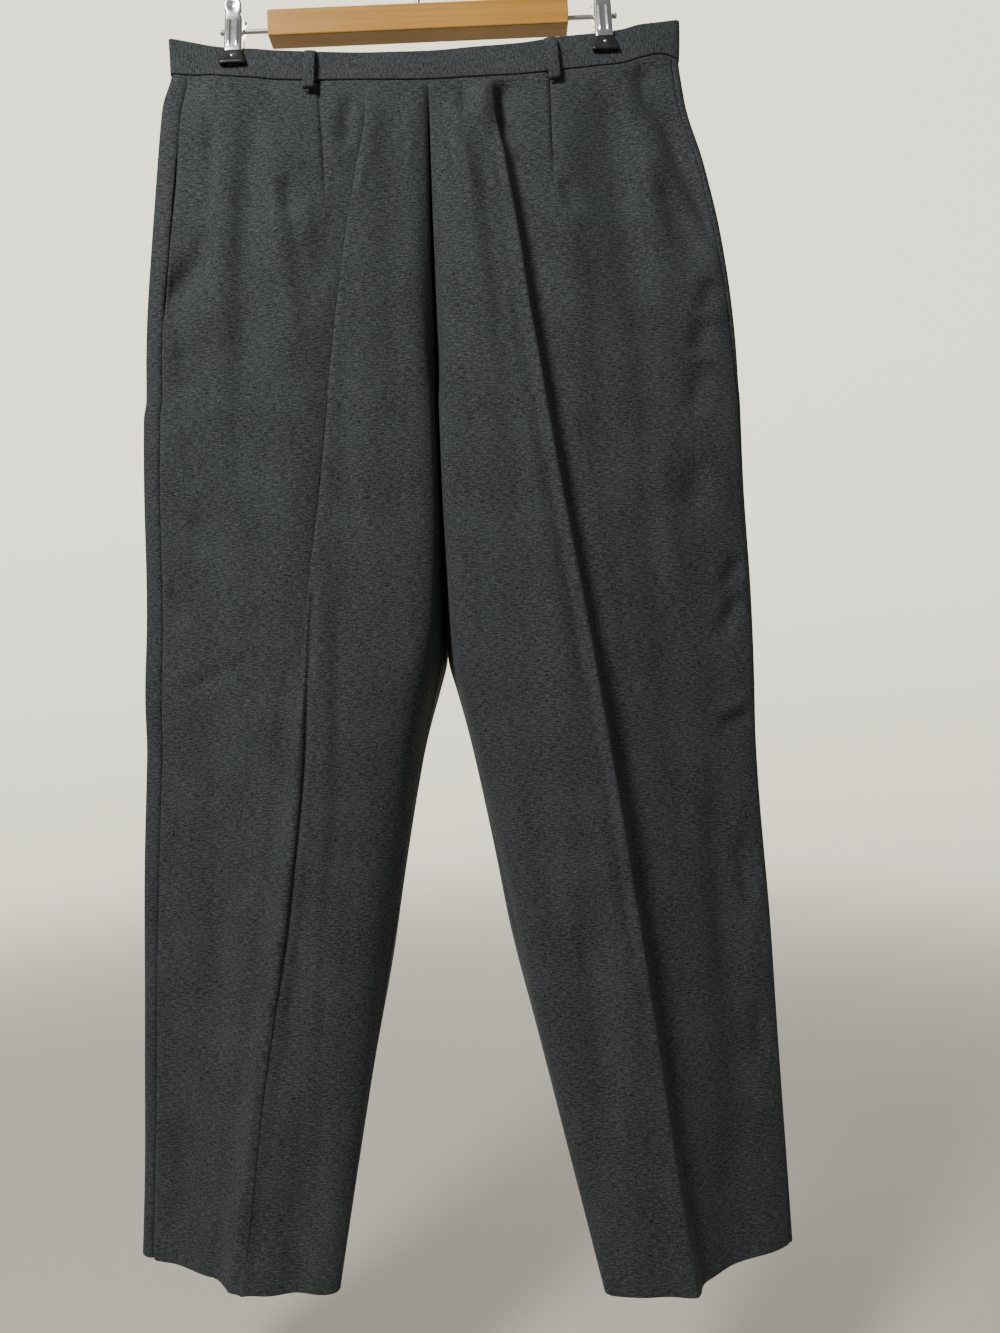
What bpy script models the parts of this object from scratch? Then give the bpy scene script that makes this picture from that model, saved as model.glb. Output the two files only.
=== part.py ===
"""Pleated dress trousers hanging by the waistband from a wooden clip hanger.

Frame: metres, +Z up, +X to the wearer's right, +Y towards the front of the trousers.
The origin is the inside top of the hanger's hook, where a rail carries it.
Sections are in millimetres, measured from the garment's centre line (out) and along Y.
"""

import math

import bmesh
import bpy
import numpy as np
from mathutils import Matrix, Vector

MM = 0.001

# Hanger
HOOK_WIRE = 3.8
HOOK_INSIDE_RADIUS = 21.0
HOOK_NECK_TOP_Z = -58.0
BAR_TOP_Z = -84.6
BAR_HEIGHT = 22.2
BAR_DEPTH = 20.0
BAR_LENGTH = 253.0
BAR_EDGE = 1.2
BAR_TILT = math.radians(0.6)
ROD_Z = BAR_TOP_Z - 12.3
ROD_DIAMETER = 3.7
ROD_IN_BAR = 18.0
ROD_END = 167.5
FIT = 0.3
CLIP_OUT = 156.0
CLIP_TILT_LEFT = math.radians(16.0)
CLIP_TILT_RIGHT = math.radians(13.0)
JAW_SHEET = 1.0
JAW_WIDTH = 15.0
TONGUE_WIDTH = 9.0
PAD_DOWN = 25.2
PAD_HEIGHT = 13.8
PAD_TOP_WIDTH = 15.2
PAD_LOW_WIDTH = 22.0
PAD_THICKNESS = 4.2
EAR_RADIUS = 4.4
SPRING_WIRE = 1.0
SPRING_TURNS = 4
RIVET_HEAD = 3.4
RIVET_SHANK = 1.8

# Cloth
CENTRE_X = 7.0
CLOTH = 1.2
BAND_THICKNESS = 2.2
BAND_HEIGHT = 31.9
SEAM_GAP = 0.3
SIDE_GAP = 0.44
PINCH_GAP = 0.4
SEAM_Z = -151.6
HEM_DROP = 988.0
CROTCH_DROP = 272.0
HEM_SLOPE = 0.16
FLY_LENGTH = 165.0
FLY_FLAP = 10.0
FLY_EDGE = 4.5
FLY_LIFT = 2.7
BAND_UNDERLAP = 30.0
BAND_LAP_LIFT = 2.7
ZIP_WIDTH = 24.0
ZIP_TAPE = 0.8
RIGHT_LEG_FORWARD = 17.0
LOOP_WIDTH = 9.0
LOOP_THICKNESS = 1.4

# Height of the waistband's top edge and of the waist seam along the garment.
WAIST_COLUMNS = ("x", "top", "seam")
WAIST = (
    (-217.0, -103.5, -133.5),
    (-198.0, -108.5, -138.0),
    (-160.0, -116.0, -143.6),
    (-100.0, -120.3, -148.9),
    (-40.0, -122.6, -150.4),
    (5.0, -122.7, -151.6),
    (50.0, -120.4, -150.6),
    (85.0, -119.0, -149.6),
    (116.0, -115.8, -147.4),
    (149.0, -113.4, -144.4),
    (170.0, -110.8, -142.4),
    (186.0, -107.5, -137.4),
    (203.0, -106.0, -133.9),
    (222.0, -103.6, -138.4),
)

# One row for each level of the back, by its drop below the waist seam. Each point of the
# section has its distance out from the centre line and its place along Y: the side, rounded
# by cap; the middle of the outer half; the foot of the crease's outer flank; the crease; the
# inner corner. seam_y is the centre back seam, wrap is how far the side seam lies round to
# the back of the garment's edge, and corner is how softly the inner corner turns.
BACK_COLUMNS = (
    "drop", "side", "side_y", "cap", "mid", "mid_y", "flank", "flank_y",
    "crease", "crease_y", "inner", "inner_y", "seam_y", "wrap", "corner",
)
BACK_LEFT = (
    (-32, 218, 0.0, 6, 160, -6.5, 63.5, -4.5, 50.5, -4.2, 14, -4.0, -4.0, 18, 3),
    (0, 217, -1.0, 7, 160, -14.5, 63.5, -14.2, 50.5, -14.2, 14, -14.0, -14.0, 22, 3),
    (32, 225, -0.5, 10, 165, -19.0, 66, -22.5, 52, -24.0, 13, -20.5, -17.0, 28, 4),
    (82, 231.5, -2.0, 13, 168, -25.0, 75.2, -31.0, 60.2, -34.0, 12, -29.5, -23.5, 32, 5),
    (142, 237.5, -5.0, 14, 172, -30.5, 86.3, -37.5, 70.3, -41.5, 10, -36.5, -28.0, 33, 5),
    (202, 241, -8.0, 14, 176, -33.0, 95.8, -41.0, 78.8, -46.0, 8, -41.5, -24.0, 32, 5),
    (262, 244.5, -8.0, 14, 180, -33.0, 104.2, -42.0, 86.2, -48.5, 2.0, -44.5, -8.0, 32, 5),
    (272, 245, -7.7, 14, 181, -33.0, 105.2, -42.0, 87.2, -49.0, 1.2, -45.0, -2.0, 32, 5),
    (342, 247.5, -5.0, 14, 184, -30.5, 115.2, -42.0, 95.7, -50.0, 1.2, -46.5, -2.0, 31, 5),
    (442, 251, 0.0, 14, 190, -25.0, 132.2, -40.0, 110.2, -50.0, 5, -46.0, -2.0, 31, 9),
    (572, 256, 6.0, 13, 198, -18.0, 144.8, -35.0, 120.8, -48.0, 35, -44.5, -2.0, 29, 16),
    (712, 265, 12.0, 13, 208, -10.0, 167.3, -29.0, 141.3, -46.0, 58, -43.5, -2.0, 27, 16),
    (852, 274, 17.0, 12, 222, -4.0, 193.2, -22.5, 165.7, -43.0, 79, -42.5, -2.0, 25, 14),
    (988, 283, 21.5, 12, 240, -3.0, 216.1, -16.5, 188.1, -40.0, 98, -42.5, -2.0, 24, 10),
)
BACK_RIGHT = (
    (-32, 213, 0.0, 6, 155, -6.5, 64.5, -4.5, 52.5, -4.2, 14, -4.0, -4.0, 12, 3),
    (0, 211.5, -1.0, 7, 155, -14.0, 64.5, -13.8, 52.5, -14.0, 14, -14.0, -14.0, 13, 3),
    (32, 217, -0.5, 10, 160, -18.0, 64.8, -19.0, 55.3, -26.0, 13, -21.0, -17.0, 17, 4),
    (82, 230, -2.0, 13, 166, -24.0, 71.8, -27.5, 61.8, -36.5, 12, -30.0, -23.5, 20, 5),
    (142, 241.5, -5.0, 14, 172, -29.5, 81.2, -34.0, 70.2, -44.0, 10, -37.5, -28.0, 19, 5),
    (202, 247.5, -8.0, 14, 177, -32.5, 88.8, -37.5, 77.3, -48.5, 8, -42.5, -24.0, 17, 5),
    (262, 251, -8.0, 14, 181, -33.0, 97.8, -39.5, 85.8, -51.5, 2, -45.5, -8.0, 13, 5),
    (272, 251.3, -7.8, 14, 182, -33.0, 99, -39.6, 87, -51.7, 1.2, -46.0, -2.0, 12, 5),
    (342, 252.5, -6.5, 14, 186, -31.0, 110, -40.5, 97, -53.0, 1.2, -47.0, -2.0, 10, 5),
    (442, 256.5, -5.0, 14, 193, -28.5, 127.2, -40.5, 112.7, -54.5, 5, -47.5, -2.0, 8, 9),
    (572, 259, -3.0, 13, 203, -25.0, 148.7, -40.0, 131.7, -56.5, 29, -48.5, -2.0, 6, 14),
    (712, 265.3, -0.5, 13, 214, -21.0, 169.8, -39.5, 150.3, -58.5, 55, -50.5, -2.0, 6, 12),
    (852, 271.2, 2.5, 12, 226, -17.5, 188.8, -39.0, 166.8, -60.0, 83.5, -53.5, -2.0, 8, 10),
    (988, 276.2, 5.6, 12, 239, -17.5, 210.5, -39.0, 185.5, -60.0, 111, -55.5, -2.0, 14, 8),
)

# One row for each level of the front: the middle of the outer half, the pleat's edge that
# runs down as the front crease, how deep the pleat tucks under, and the inner corner.
# seam_y is the centre front seam, and inseam is where the inseam lies between the two
# inner corners, as a fraction from the back one.
FRONT_COLUMNS = (
    "drop", "mid", "mid_y", "pleat", "pleat_y", "tuck", "inner", "inner_y", "seam_y", "inseam",
)
FRONT = (
    (-32, 160, -3.9, 108, 2.5, 0, 24, 9.0, 10.0, 0.78),
    (0, 160, -11.6, 106, 0.0, 16, 24, 5.0, 6.0, 0.78),
    (32, 165, -5.0, 106, 6.5, 15, 24, 9.0, 9.5, 0.78),
    (82, 170, 2.5, 109, 13.5, 10, 22, 11.5, 11.5, 0.78),
    (142, 172, 6.5, 114, 19.5, 3, 18, 13.0, 12.0, 0.78),
    (202, 174, 9.0, 119, 23.0, 0, 12, 13.0, 10.5, 0.78),
    (262, 176, 11.0, 123, 25.0, 0, 2.5, 11.0, 1.0, 0.78),
    (272, 176.5, 11.3, 124, 25.2, 0, 1.2, 10.8, -2.0, 0.78),
    (342, 180, 13.5, 128, 27.0, 0, 1.2, 13.0, -2.0, 0.76),
    (442, 186, 18.0, 134, 29.5, 0, 1.2, 14.0, -2.0, 0.72),
    (507, 190, 21.0, 137, 30.2, 0, 3.0, 12.0, -2.0, 0.67),
    (572, 195, 24.0, 140, 31.0, 0, 18, 8.5, -2.0, 0.62),
    (712, 205, 29.0, 147, 32.5, 0, 44, 0.5, -2.0, 0.52),
    (852, 217, 32.0, 156, 33.5, 0, 76, -9.0, -2.0, 0.42),
    (988, 230, 33.5, 167, 33.5, 0, 112, -24.0, -2.0, 0.36),
)

# Soft folds that show across a panel: where each starts and ends, its half width, and its
# height out of the cloth, below zero for a trough.
FOLD_COLUMNS = ("out", "drop", "end_out", "end_drop", "half_width", "height")
BACK_FOLDS_LEFT = (
    (208, 60, 200, 190, 13, -3.0),
    (178, 40, 172, 230, 12, 2.6),
    (146, 70, 150, 240, 11, -2.2),
    (196, 150, 226, 196, 11, -4.0),
    (120, 60, 132, 190, 10, 1.8),
)
BACK_FOLDS_RIGHT = (
    (146, 14, 186, 92, 11, -5.5),
    (186, 92, 222, 165, 12, -6.0),
    (108, 60, 122, 260, 14, 2.2),
    (222, 210, 232, 330, 12, -2.2),
    (160, 150, 172, 320, 16, -2.4),
)
FRONT_FOLDS = (
    (150, 30, 176, 150, 12, -3.5),
    (196, 60, 214, 200, 13, -3.0),
    (60, 30, 74, 210, 14, 2.6),
    (40, 90, 52, 250, 12, -2.4),
)

# A belt loop from its top end to its foot: drop, and how far it stands out of the cloth.
LOOP_COLUMNS = ("drop", "stand_off")
LOOP = (
    (-31.4, 2.4), (-30.0, 2.7), (-27.5, 5.4), (-24.0, 7.4), (-16.0, 8.2), (-7.0, 8.4), (0.0, 8.2),
    (5.5, 7.6), (8.6, 5.8), (9.2, 2.8),
)

# The mid line of a jaw, seen from its side: how far down from the rod, and how far out.
JAW_COLUMNS = ("down", "out")
JAW = (
    (35.0, 4.8), (26.5, 4.8), (21.5, 5.6), (11.0, 6.5), (0.0, 6.9), (-8.0, 7.4), (-14.0, 8.8),
    (-19.0, 10.9), (-22.5, 11.9), (-25.5, 11.7),
)

# Steps between neighbouring rows and columns of the panels.
PANEL_DROPS = (
    0.0, 9.0, 22.0, 40.0, 62.0, 88.0, 118.0, 150.0, 182.0, 212.0, 238.0, 258.0,
    276.0, 304.0, 350.0, 412.0, 488.0, 568.0, 652.0, 738.0, 824.0, 910.0, HEM_DROP,
)
BACK_STEPS = (2, 3, 2, 3, 3, 1)
FRONT_STEPS = (1, 5, 3, 3, 1, 2, 1, 2, 1, 3, 2)

LEFT, RIGHT = -1, 1


# ---------------------------------------------------------------- materials and collections
def material(name, colour, roughness, metallic=0.0):
    made = bpy.data.materials.new(name)
    made.use_nodes = True
    shader = made.node_tree.nodes["Principled BSDF"]
    shader.inputs["Base Color"].default_value = (*colour, 1.0)
    shader.inputs["Roughness"].default_value = roughness
    shader.inputs["Metallic"].default_value = metallic
    return made


def clear_scene():
    for old in list(bpy.data.objects):
        bpy.data.objects.remove(old, do_unlink=True)


def collection(name):
    made = bpy.data.collections.new(name)
    bpy.context.scene.collection.children.link(made)
    return made


def add_object(name, data, where, finish=None):
    made = bpy.data.objects.new(name, data)
    where.objects.link(made)
    if finish is not None:
        data.materials.append(finish)
    return made


def mesh_object(name, points, faces, where, finish=None):
    mesh = bpy.data.meshes.new(name)
    mesh.from_pydata([tuple(point * MM) for point in np.asarray(points)], [], faces)
    mesh.update()
    return add_object(name, mesh, where, finish)


def bmesh_object(name, shape, where, finish=None):
    mesh = bpy.data.meshes.new(name)
    shape.to_mesh(mesh)
    shape.free()
    return add_object(name, mesh, where, finish)


# ---------------------------------------------------------------- curves through a table
def columns(names, rows):
    return {name: np.array([row[i] for row in rows], float) for i, name in enumerate(names)}


def smooth(places, values, at):
    """Monotone cubic through a column of a table."""
    at = np.clip(np.asarray(at, float), places[0], places[-1])
    step = np.diff(places)
    slope = np.diff(values) / step
    tangent = np.zeros(len(values))
    same = slope[:-1] * slope[1:] > 0
    weight = np.where(same, slope[:-1] + slope[1:], 1.0)
    tangent[1:-1] = np.where(same, 2 * slope[:-1] * slope[1:] / weight, 0.0)
    tangent[0] = slope[0]
    tangent[-1] = slope[-1]
    k = np.clip(np.searchsorted(places, at, side="right") - 1, 0, len(step) - 1)
    s = (at - places[k]) / step[k]
    rise = values[k + 1] - values[k]
    start = tangent[k] * step[k]
    end = tangent[k + 1] * step[k]
    return values[k] + s * start + s**2 * (3 * rise - 2 * start - end) + s**3 * (start + end - 2 * rise)


def fade(value, start, end):
    """1 before start, 0 after end, smooth between them."""
    s = np.clip((np.asarray(value, float) - start) / (end - start), 0.0, 1.0)
    return 1.0 - s * s * (3.0 - 2.0 * s)


def level(names, rows, drops):
    table = columns(names, rows)
    return {name: smooth(table["drop"], table[name], drops) for name in names}


def waist_height(column, x):
    table = columns(WAIST_COLUMNS, WAIST)
    return smooth(table["x"], table[column], x)


# ---------------------------------------------------------------- the garment's sections
def point(out, y):
    out, y = np.broadcast_arrays(np.asarray(out, float), np.asarray(y, float))
    return np.stack([out, y], axis=-1)


def inner_seams(back, front, drops):
    """Where the back and the front end: on the centre seams above the crotch, and on the
    inseam, a fraction of the way between the inner corners, below it."""
    inner_back = point(back["inner"], back["inner_y"])
    inner_front = point(front["inner"], front["inner_y"])
    inseam = inner_back + front["inseam"][:, None] * (inner_front - inner_back)
    ends = []
    for corner, seam_y in ((inner_back, back["seam_y"]), (inner_front, front["seam_y"])):
        run = np.stack([corner[:, 0], corner[:, 1] - seam_y], axis=-1)
        turned = np.abs(run[:, 1]) / np.maximum(np.linalg.norm(run, axis=1), 0.01)
        centre = point(SEAM_GAP / 2 + CLOTH / 2 * turned, seam_y)
        towards = corner - inseam
        towards /= np.maximum(np.linalg.norm(towards, axis=1), 0.01)[:, None]
        low = inseam + towards * SEAM_GAP / 2
        above = (drops < CROTCH_DROP)[:, None]
        ends.append(np.where(above, centre, low))
    return ends


def section_corners(side, drops):
    """The corners of the section at each drop, from the centre back round the side to the
    centre front, and how softly each corner turns."""
    drops = np.asarray(drops, float)
    back = level(BACK_COLUMNS, BACK_LEFT if side == LEFT else BACK_RIGHT, drops)
    front = level(FRONT_COLUMNS, FRONT, drops)
    if side == RIGHT:
        forward = RIGHT_LEG_FORWARD * (1.0 - fade(drops, 250.0, HEM_DROP))
        for name in ("mid_y", "pleat_y", "inner_y"):
            front[name] = front[name] - forward
    start, end = inner_seams(back, front, drops)
    cap = back["cap"]
    turn = 0.6 * cap
    edge = back["side"] + np.hypot(cap, turn) - cap
    pleat = point(front["pleat"], front["pleat_y"])
    inner_front = point(front["inner"], front["inner_y"])
    along = inner_front - pleat
    along /= np.linalg.norm(along, axis=1)[:, None]
    folded = np.clip(front["tuck"] / 10.0, 0.0, 1.0)[:, None]
    tuck = front["tuck"][:, None]
    layer = 2.4
    under = [
        (np.array([0.0, -layer]), 2.4),
        (np.array([0.0, -layer - 0.3]) + tuck * np.array([1.0, 0.0]), 5.0),
        (np.array([0.0, -2 * layer - 0.3]) + tuck * np.array([1.0, 0.0]), 7.5),
        (np.array([-4.0, -2 * layer]), 12.0),
        (np.array([-15.0, -0.8]), 20.0),
    ]
    pleat_points = [pleat + folded * at + (1 - folded) * along * run for at, run in under]
    corners = [
        start,
        point(back["inner"], back["inner_y"]),
        point(back["crease"], back["crease_y"]),
        point(back["flank"], back["flank_y"]),
        point(back["mid"], back["mid_y"]),
        point(edge, back["side_y"] - cap),
        point(edge, back["side_y"] + cap),
        point(front["mid"], front["mid_y"]),
        pleat,
        *pleat_points,
        inner_front,
        end,
    ]
    ones = np.ones_like(cap)
    soft = [
        ones, back["corner"], 1.2 * ones, 9 * ones, 24 * ones, turn, turn, 22 * ones,
        1.0 * ones, 0.8 * ones, 0.8 * ones, 0.8 * ones, 2 * ones, 6 * ones,
        back["corner"], ones,
    ]
    return np.stack(corners, axis=1), np.stack(soft, axis=1), back


def section_frame(side, drops):
    corners, soft, back = section_corners(side, drops)
    runs = np.diff(corners, axis=1)
    lengths = np.maximum(np.linalg.norm(runs, axis=2), 1e-6)
    places = np.concatenate([np.zeros((len(lengths), 1)), np.cumsum(lengths, axis=1)], axis=1)
    side_seam = (places[:, 5] + places[:, 6]) / 2 - back["wrap"]
    return corners, soft, runs / lengths[..., None], places, side_seam


def section_points(frame, along):
    """A point at a distance along each section. Every corner turns the straight line by
    the change of direction times (d + sqrt(d*d + soft*soft)) / 2, d being the way past it."""
    corners, soft, ways, places, _ = frame
    first = corners[:, 0]
    last = corners[:, -1]

    def free(at):
        made = first[:, None] + ways[:, 0][:, None] * at[..., None]
        for i in range(1, corners.shape[1] - 1):
            past = at - places[:, i][:, None]
            bend = (past + np.sqrt(past**2 + soft[:, i][:, None] ** 2)) / 2
            made = made + (ways[:, i] - ways[:, i - 1])[:, None] * bend[..., None]
        return made

    total = places[:, -1][:, None]
    start_off = first[:, None] - free(np.zeros_like(total))
    end_off = last[:, None] - free(total)
    share = (along / total)[..., None]
    return free(along) + start_off * (1 - share) + end_off * share


def spread(knots, steps):
    """Distances along each section, with the given number of steps between the knots."""
    made = [knots[0]]
    for a, b, count in zip(knots, knots[1:], steps):
        made += [a + (b - a) * i / count for i in range(1, count + 1)]
    return np.stack(made, axis=1)


def folds_at(rows, out, drop):
    total = np.zeros_like(out)
    for row in rows:
        fold = dict(zip(FOLD_COLUMNS, row))
        run = np.array([fold["end_out"] - fold["out"], fold["end_drop"] - fold["drop"]])
        length = np.linalg.norm(run)
        way = run / length
        past = (out - fold["out"]) * way[0] + (drop - fold["drop"]) * way[1]
        off = (out - fold["out"]) * way[1] - (drop - fold["drop"]) * way[0]
        ends = (1 - fade(past, -0.15 * length, 0.25 * length)) * fade(past, 0.7 * length, 1.15 * length)
        total += fold["height"] * ends * np.exp(-((off / fold["half_width"]) ** 2))
    return total


def pinched(grid, drop, side, facing):
    """Brings the cloth between a clip's pads onto the clip's own leaning plane. facing is
    -1 for the back of the garment and 1 for its front."""
    tilt = CLIP_TILT_LEFT if side == LEFT else CLIP_TILT_RIGHT
    beside = fade(np.abs(grid[..., 0] - side * CLIP_OUT), 15.0, 34.0)
    held = beside * fade(drop, -2.0, 62.0)
    rod_z = ROD_Z + side * CLIP_OUT * math.sin(BAR_TILT)
    plane = -(rod_z - grid[..., 2]) * math.tan(tilt)
    onto = plane + facing * (BAND_THICKNESS + PINCH_GAP) / 2 / math.cos(tilt)
    grid[..., 1] += (onto - grid[..., 1]) * held
    return grid


def to_row_frame(points, drop, side, lift):
    """Section points to x, y, z. Near the waist a level follows the seam's own curve, and
    at the hem it slopes up towards the front."""
    x = CENTRE_X + side * points[..., 0]
    y = points[..., 1]
    above = np.clip(-drop / BAND_HEIGHT, 0.0, 1.0)
    seam = waist_height("seam", x)
    band = seam + (waist_height("top", x) - seam) * above
    body = SEAM_Z - drop + (seam - SEAM_Z) * fade(drop, 0.0, 150.0)
    middle = -4.0 if side == LEFT else -20.0
    slope = HEM_SLOPE * (y - middle) * (1 - fade(drop, 780.0, HEM_DROP))
    z = np.where(drop <= 0, band, body + slope) - lift
    return np.stack([x, y, z], axis=-1)


def faces_of(rows, cols):
    made = []
    for r in range(rows - 1):
        for c in range(cols - 1):
            a = r * cols + c
            made.append((a, a + 1, a + cols + 1, a + cols))
    return made


def cloth_object(name, grid, where, finish, thickness=CLOTH):
    rows, cols = grid.shape[:2]
    made = mesh_object(name, grid.reshape(-1, 3), faces_of(rows, cols), where, finish)
    wall = made.modifiers.new("Cloth", "SOLIDIFY")
    wall.thickness = thickness * MM
    wall.offset = 0.0
    wall.use_even_offset = True
    return made


# ---------------------------------------------------------------- panels
def back_grid(side, drops, steps, lift):
    """The back from the centre seam or inseam to the side seam."""
    frame = section_frame(side, drops)
    places, side_seam = frame[3], frame[4]
    edge = side_seam - SIDE_GAP / 2
    along = spread([*(places[:, i] for i in range(5)), edge - 1.8, edge], steps)
    points = section_points(frame, along)
    drop = np.broadcast_to(np.asarray(drops, float)[:, None], along.shape)
    rows = BACK_FOLDS_LEFT if side == LEFT else BACK_FOLDS_RIGHT
    height = folds_at(rows, points[..., 0], drop)
    points[..., 1] -= height * (1 - fade(drop, 0.0, 20.0))
    return pinched(to_row_frame(points, drop, side, lift), drop, side, -1)


def fly_lift(drop):
    return fade(drop, FLY_LENGTH + 8.0, FLY_LENGTH + 34.0)


def front_grid(side, drops, steps, lift, fly):
    """The front from the side seam round the pleat to the centre seam or inseam."""
    frame = section_frame(side, drops)
    places, side_seam = frame[3], frame[4]
    edge = side_seam + SIDE_GAP / 2
    along = spread([edge, edge + 1.8, *(places[:, i] for i in range(6, 16))], steps)
    points = section_points(frame, along)
    drop = np.broadcast_to(np.asarray(drops, float)[:, None], along.shape)
    out = points[..., 0]
    height = folds_at(FRONT_FOLDS, out, drop) * (1 - fade(drop, 0.0, 20.0))
    off_pleat = np.where(out > 100, 1 - fade(out, 138, 160), fade(out, 62, 84))
    points[..., 1] += height * off_pleat
    if fly:
        reach = fade(out, 0.0, 24.0) * fade(drop, FLY_LENGTH - 14.0, FLY_LENGTH)
        if side == LEFT:
            points[..., 1] += fade(out, 12.0, 40.0) * fly_lift(drop) * FLY_LIFT
            points[..., 0] -= reach * (FLY_FLAP + SEAM_GAP / 2)
        else:
            points[..., 0] += reach * (FLY_EDGE - SEAM_GAP / 2)
    return pinched(to_row_frame(points, drop, side, lift), drop, side, 1)


def panels(where, cloth):
    drops = np.array(PANEL_DROPS)
    lift = np.where(drops == 0, 0.7, 0.0)[:, None]
    for side, name in ((LEFT, "left"), (RIGHT, "right")):
        grid = back_grid(side, drops, BACK_STEPS, lift)
        cloth_object(f"back_panel_{name}", grid, where, cloth)
        grid = front_grid(side, drops, FRONT_STEPS, lift, True)
        cloth_object(f"front_panel_{name}", grid, where, cloth)


def waistbands(where, cloth):
    """Each half runs from the centre back round the side to the fly, where the left end
    lies over a tongue of the right one."""
    drops = np.array([-BAND_HEIGHT, -BAND_HEIGHT * 0.55, 0.0])
    lift = np.where(drops == 0, -0.2, 0.0)[:, None]
    halves = {}
    for side in (LEFT, RIGHT):
        back = back_grid(side, drops, (1, 2, 1, 4, 3, 1), lift)
        front = front_grid(side, drops, (1, 5, 4, 4, 1, 1, 1, 1, 1, 3, 3), lift, False)
        front = np.delete(front, np.arange(15, 19), axis=1)
        joined = (back[:, -1:] + front[:, :1]) / 2
        halves[side] = np.concatenate([back[:, :-1], joined, front[:, 1:]], axis=1)
    lapped = fade(np.abs(halves[LEFT][..., 0] - CENTRE_X), 26.0, 62.0)
    facing = np.arange(lapped.shape[1]) > lapped.shape[1] / 2
    halves[LEFT][..., 1] += lapped * facing * BAND_LAP_LIFT
    tongue_x = CENTRE_X - np.linspace(1.0, BAND_UNDERLAP, 4)
    rows = []
    for over in halves[LEFT][:, -8:]:
        y = np.interp(tongue_x, over[:, 0], over[:, 1])
        z = np.interp(tongue_x, over[:, 0], over[:, 2])
        rows.append(np.stack([tongue_x, y - 2 * BAND_LAP_LIFT, z], axis=-1))
    lapped = fade(np.abs(halves[RIGHT][..., 0] - CENTRE_X), 6.0, 50.0)
    halves[RIGHT][..., 1] -= lapped * facing * BAND_LAP_LIFT
    halves[RIGHT] = np.concatenate([halves[RIGHT][:, :-1], np.array(rows)], axis=1)
    flap = halves[LEFT][:, -1:] + np.array([FLY_FLAP, 0.0, 0.0])
    halves[LEFT] = np.concatenate([halves[LEFT], flap], axis=1)
    for side, name in ((LEFT, "left"), (RIGHT, "right")):
        cloth_object(f"waistband_{name}", halves[side], where, cloth, BAND_THICKNESS)


# ---------------------------------------------------------------- pieces sewn on
def surface_at(side, facing, x, drops):
    """Points of the cloth on the back, or on the front between its pleats, at x and drops."""
    drops = np.asarray(drops, float)
    fine = (6, 12, 6, 12, 8, 1) if facing < 0 else (1, 6, 12, 12, 1, 1, 1, 1, 1, 6, 4)
    if facing < 0:
        grid = back_grid(side, drops, fine, 0.0)[:, :-4]
    else:
        grid = front_grid(side, drops, fine, 0.0, False)[:, 36:]
    x = np.broadcast_to(x, (len(drops), np.shape(x)[-1]))
    rows = []
    for row, at in zip(grid, x):
        order = np.argsort(row[:, 0])
        y = np.interp(at, row[order, 0], row[order, 1])
        z = np.interp(at, row[order, 0], row[order, 2])
        rows.append(np.stack([at, y, z], axis=-1))
    return np.array(rows)


def belt_loops(where, cloth):
    path = columns(LOOP_COLUMNS, LOOP)
    across = np.array([-0.5, 0.5]) * LOOP_WIDTH
    places = (
        ("back_left", LEFT, -1, -91.5, 0.0),
        ("back_right", RIGHT, -1, 110.5, 2.5),
        ("front_left", LEFT, 1, -85.0, 0.0),
        ("front_right", RIGHT, 1, 99.0, 0.0),
    )
    for name, side, facing, x, lean in places:
        share = np.linspace(0.0, 1.0, len(LOOP))[:, None]
        at = x + lean * share + across
        grid = surface_at(side, facing, at, path["drop"])
        grid[..., 1] += facing * path["stand_off"][:, None]
        if facing < 0:
            grid = grid[:, ::-1]
        cloth_object(f"belt_loop_{name}", grid, where, cloth, LOOP_THICKNESS)


# ---------------------------------------------------------------- solid shapes
def bar_place():
    """The bar hangs a little askew, its right end higher, turned about the hook's neck."""
    pivot = Matrix.Translation((0, 0, ROD_Z * MM))
    return pivot @ Matrix.Rotation(-BAR_TILT, 4, "Y") @ pivot.inverted()


def finish_mesh(name, shape, where, finish, place):
    bmesh.ops.recalc_face_normals(shape, faces=shape.faces)
    bmesh.ops.scale(shape, vec=Vector((MM, MM, MM)), verts=shape.verts)
    made = bmesh_object(name, shape, where, finish)
    made.matrix_world = place
    return made


def box(name, low, high, where, finish=None, place=Matrix()):
    shape = bmesh.new()
    size = Vector(high) - Vector(low)
    middle = (Vector(high) + Vector(low)) / 2
    made = bmesh.ops.create_cube(shape, size=1.0)
    bmesh.ops.scale(shape, vec=size, verts=made["verts"])
    bmesh.ops.translate(shape, vec=middle, verts=made["verts"])
    return finish_mesh(name, shape, where, finish, place)


def cylinder(name, start, end, radius, sides, where, finish=None, place=Matrix(), tip=None):
    shape = bmesh.new()
    run = Vector(end) - Vector(start)
    turn = run.to_track_quat("Z", "Y").to_matrix().to_4x4()
    middle = Matrix.Translation((Vector(start) + Vector(end)) / 2)
    bmesh.ops.create_cone(
        shape, cap_ends=True, segments=sides, radius1=radius,
        radius2=radius if tip is None else tip, depth=run.length, matrix=middle @ turn,
    )
    made = finish_mesh(name, shape, where, finish, place)
    for face in made.data.polygons:
        face.use_smooth = len(face.vertices) == 4
    return made


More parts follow.
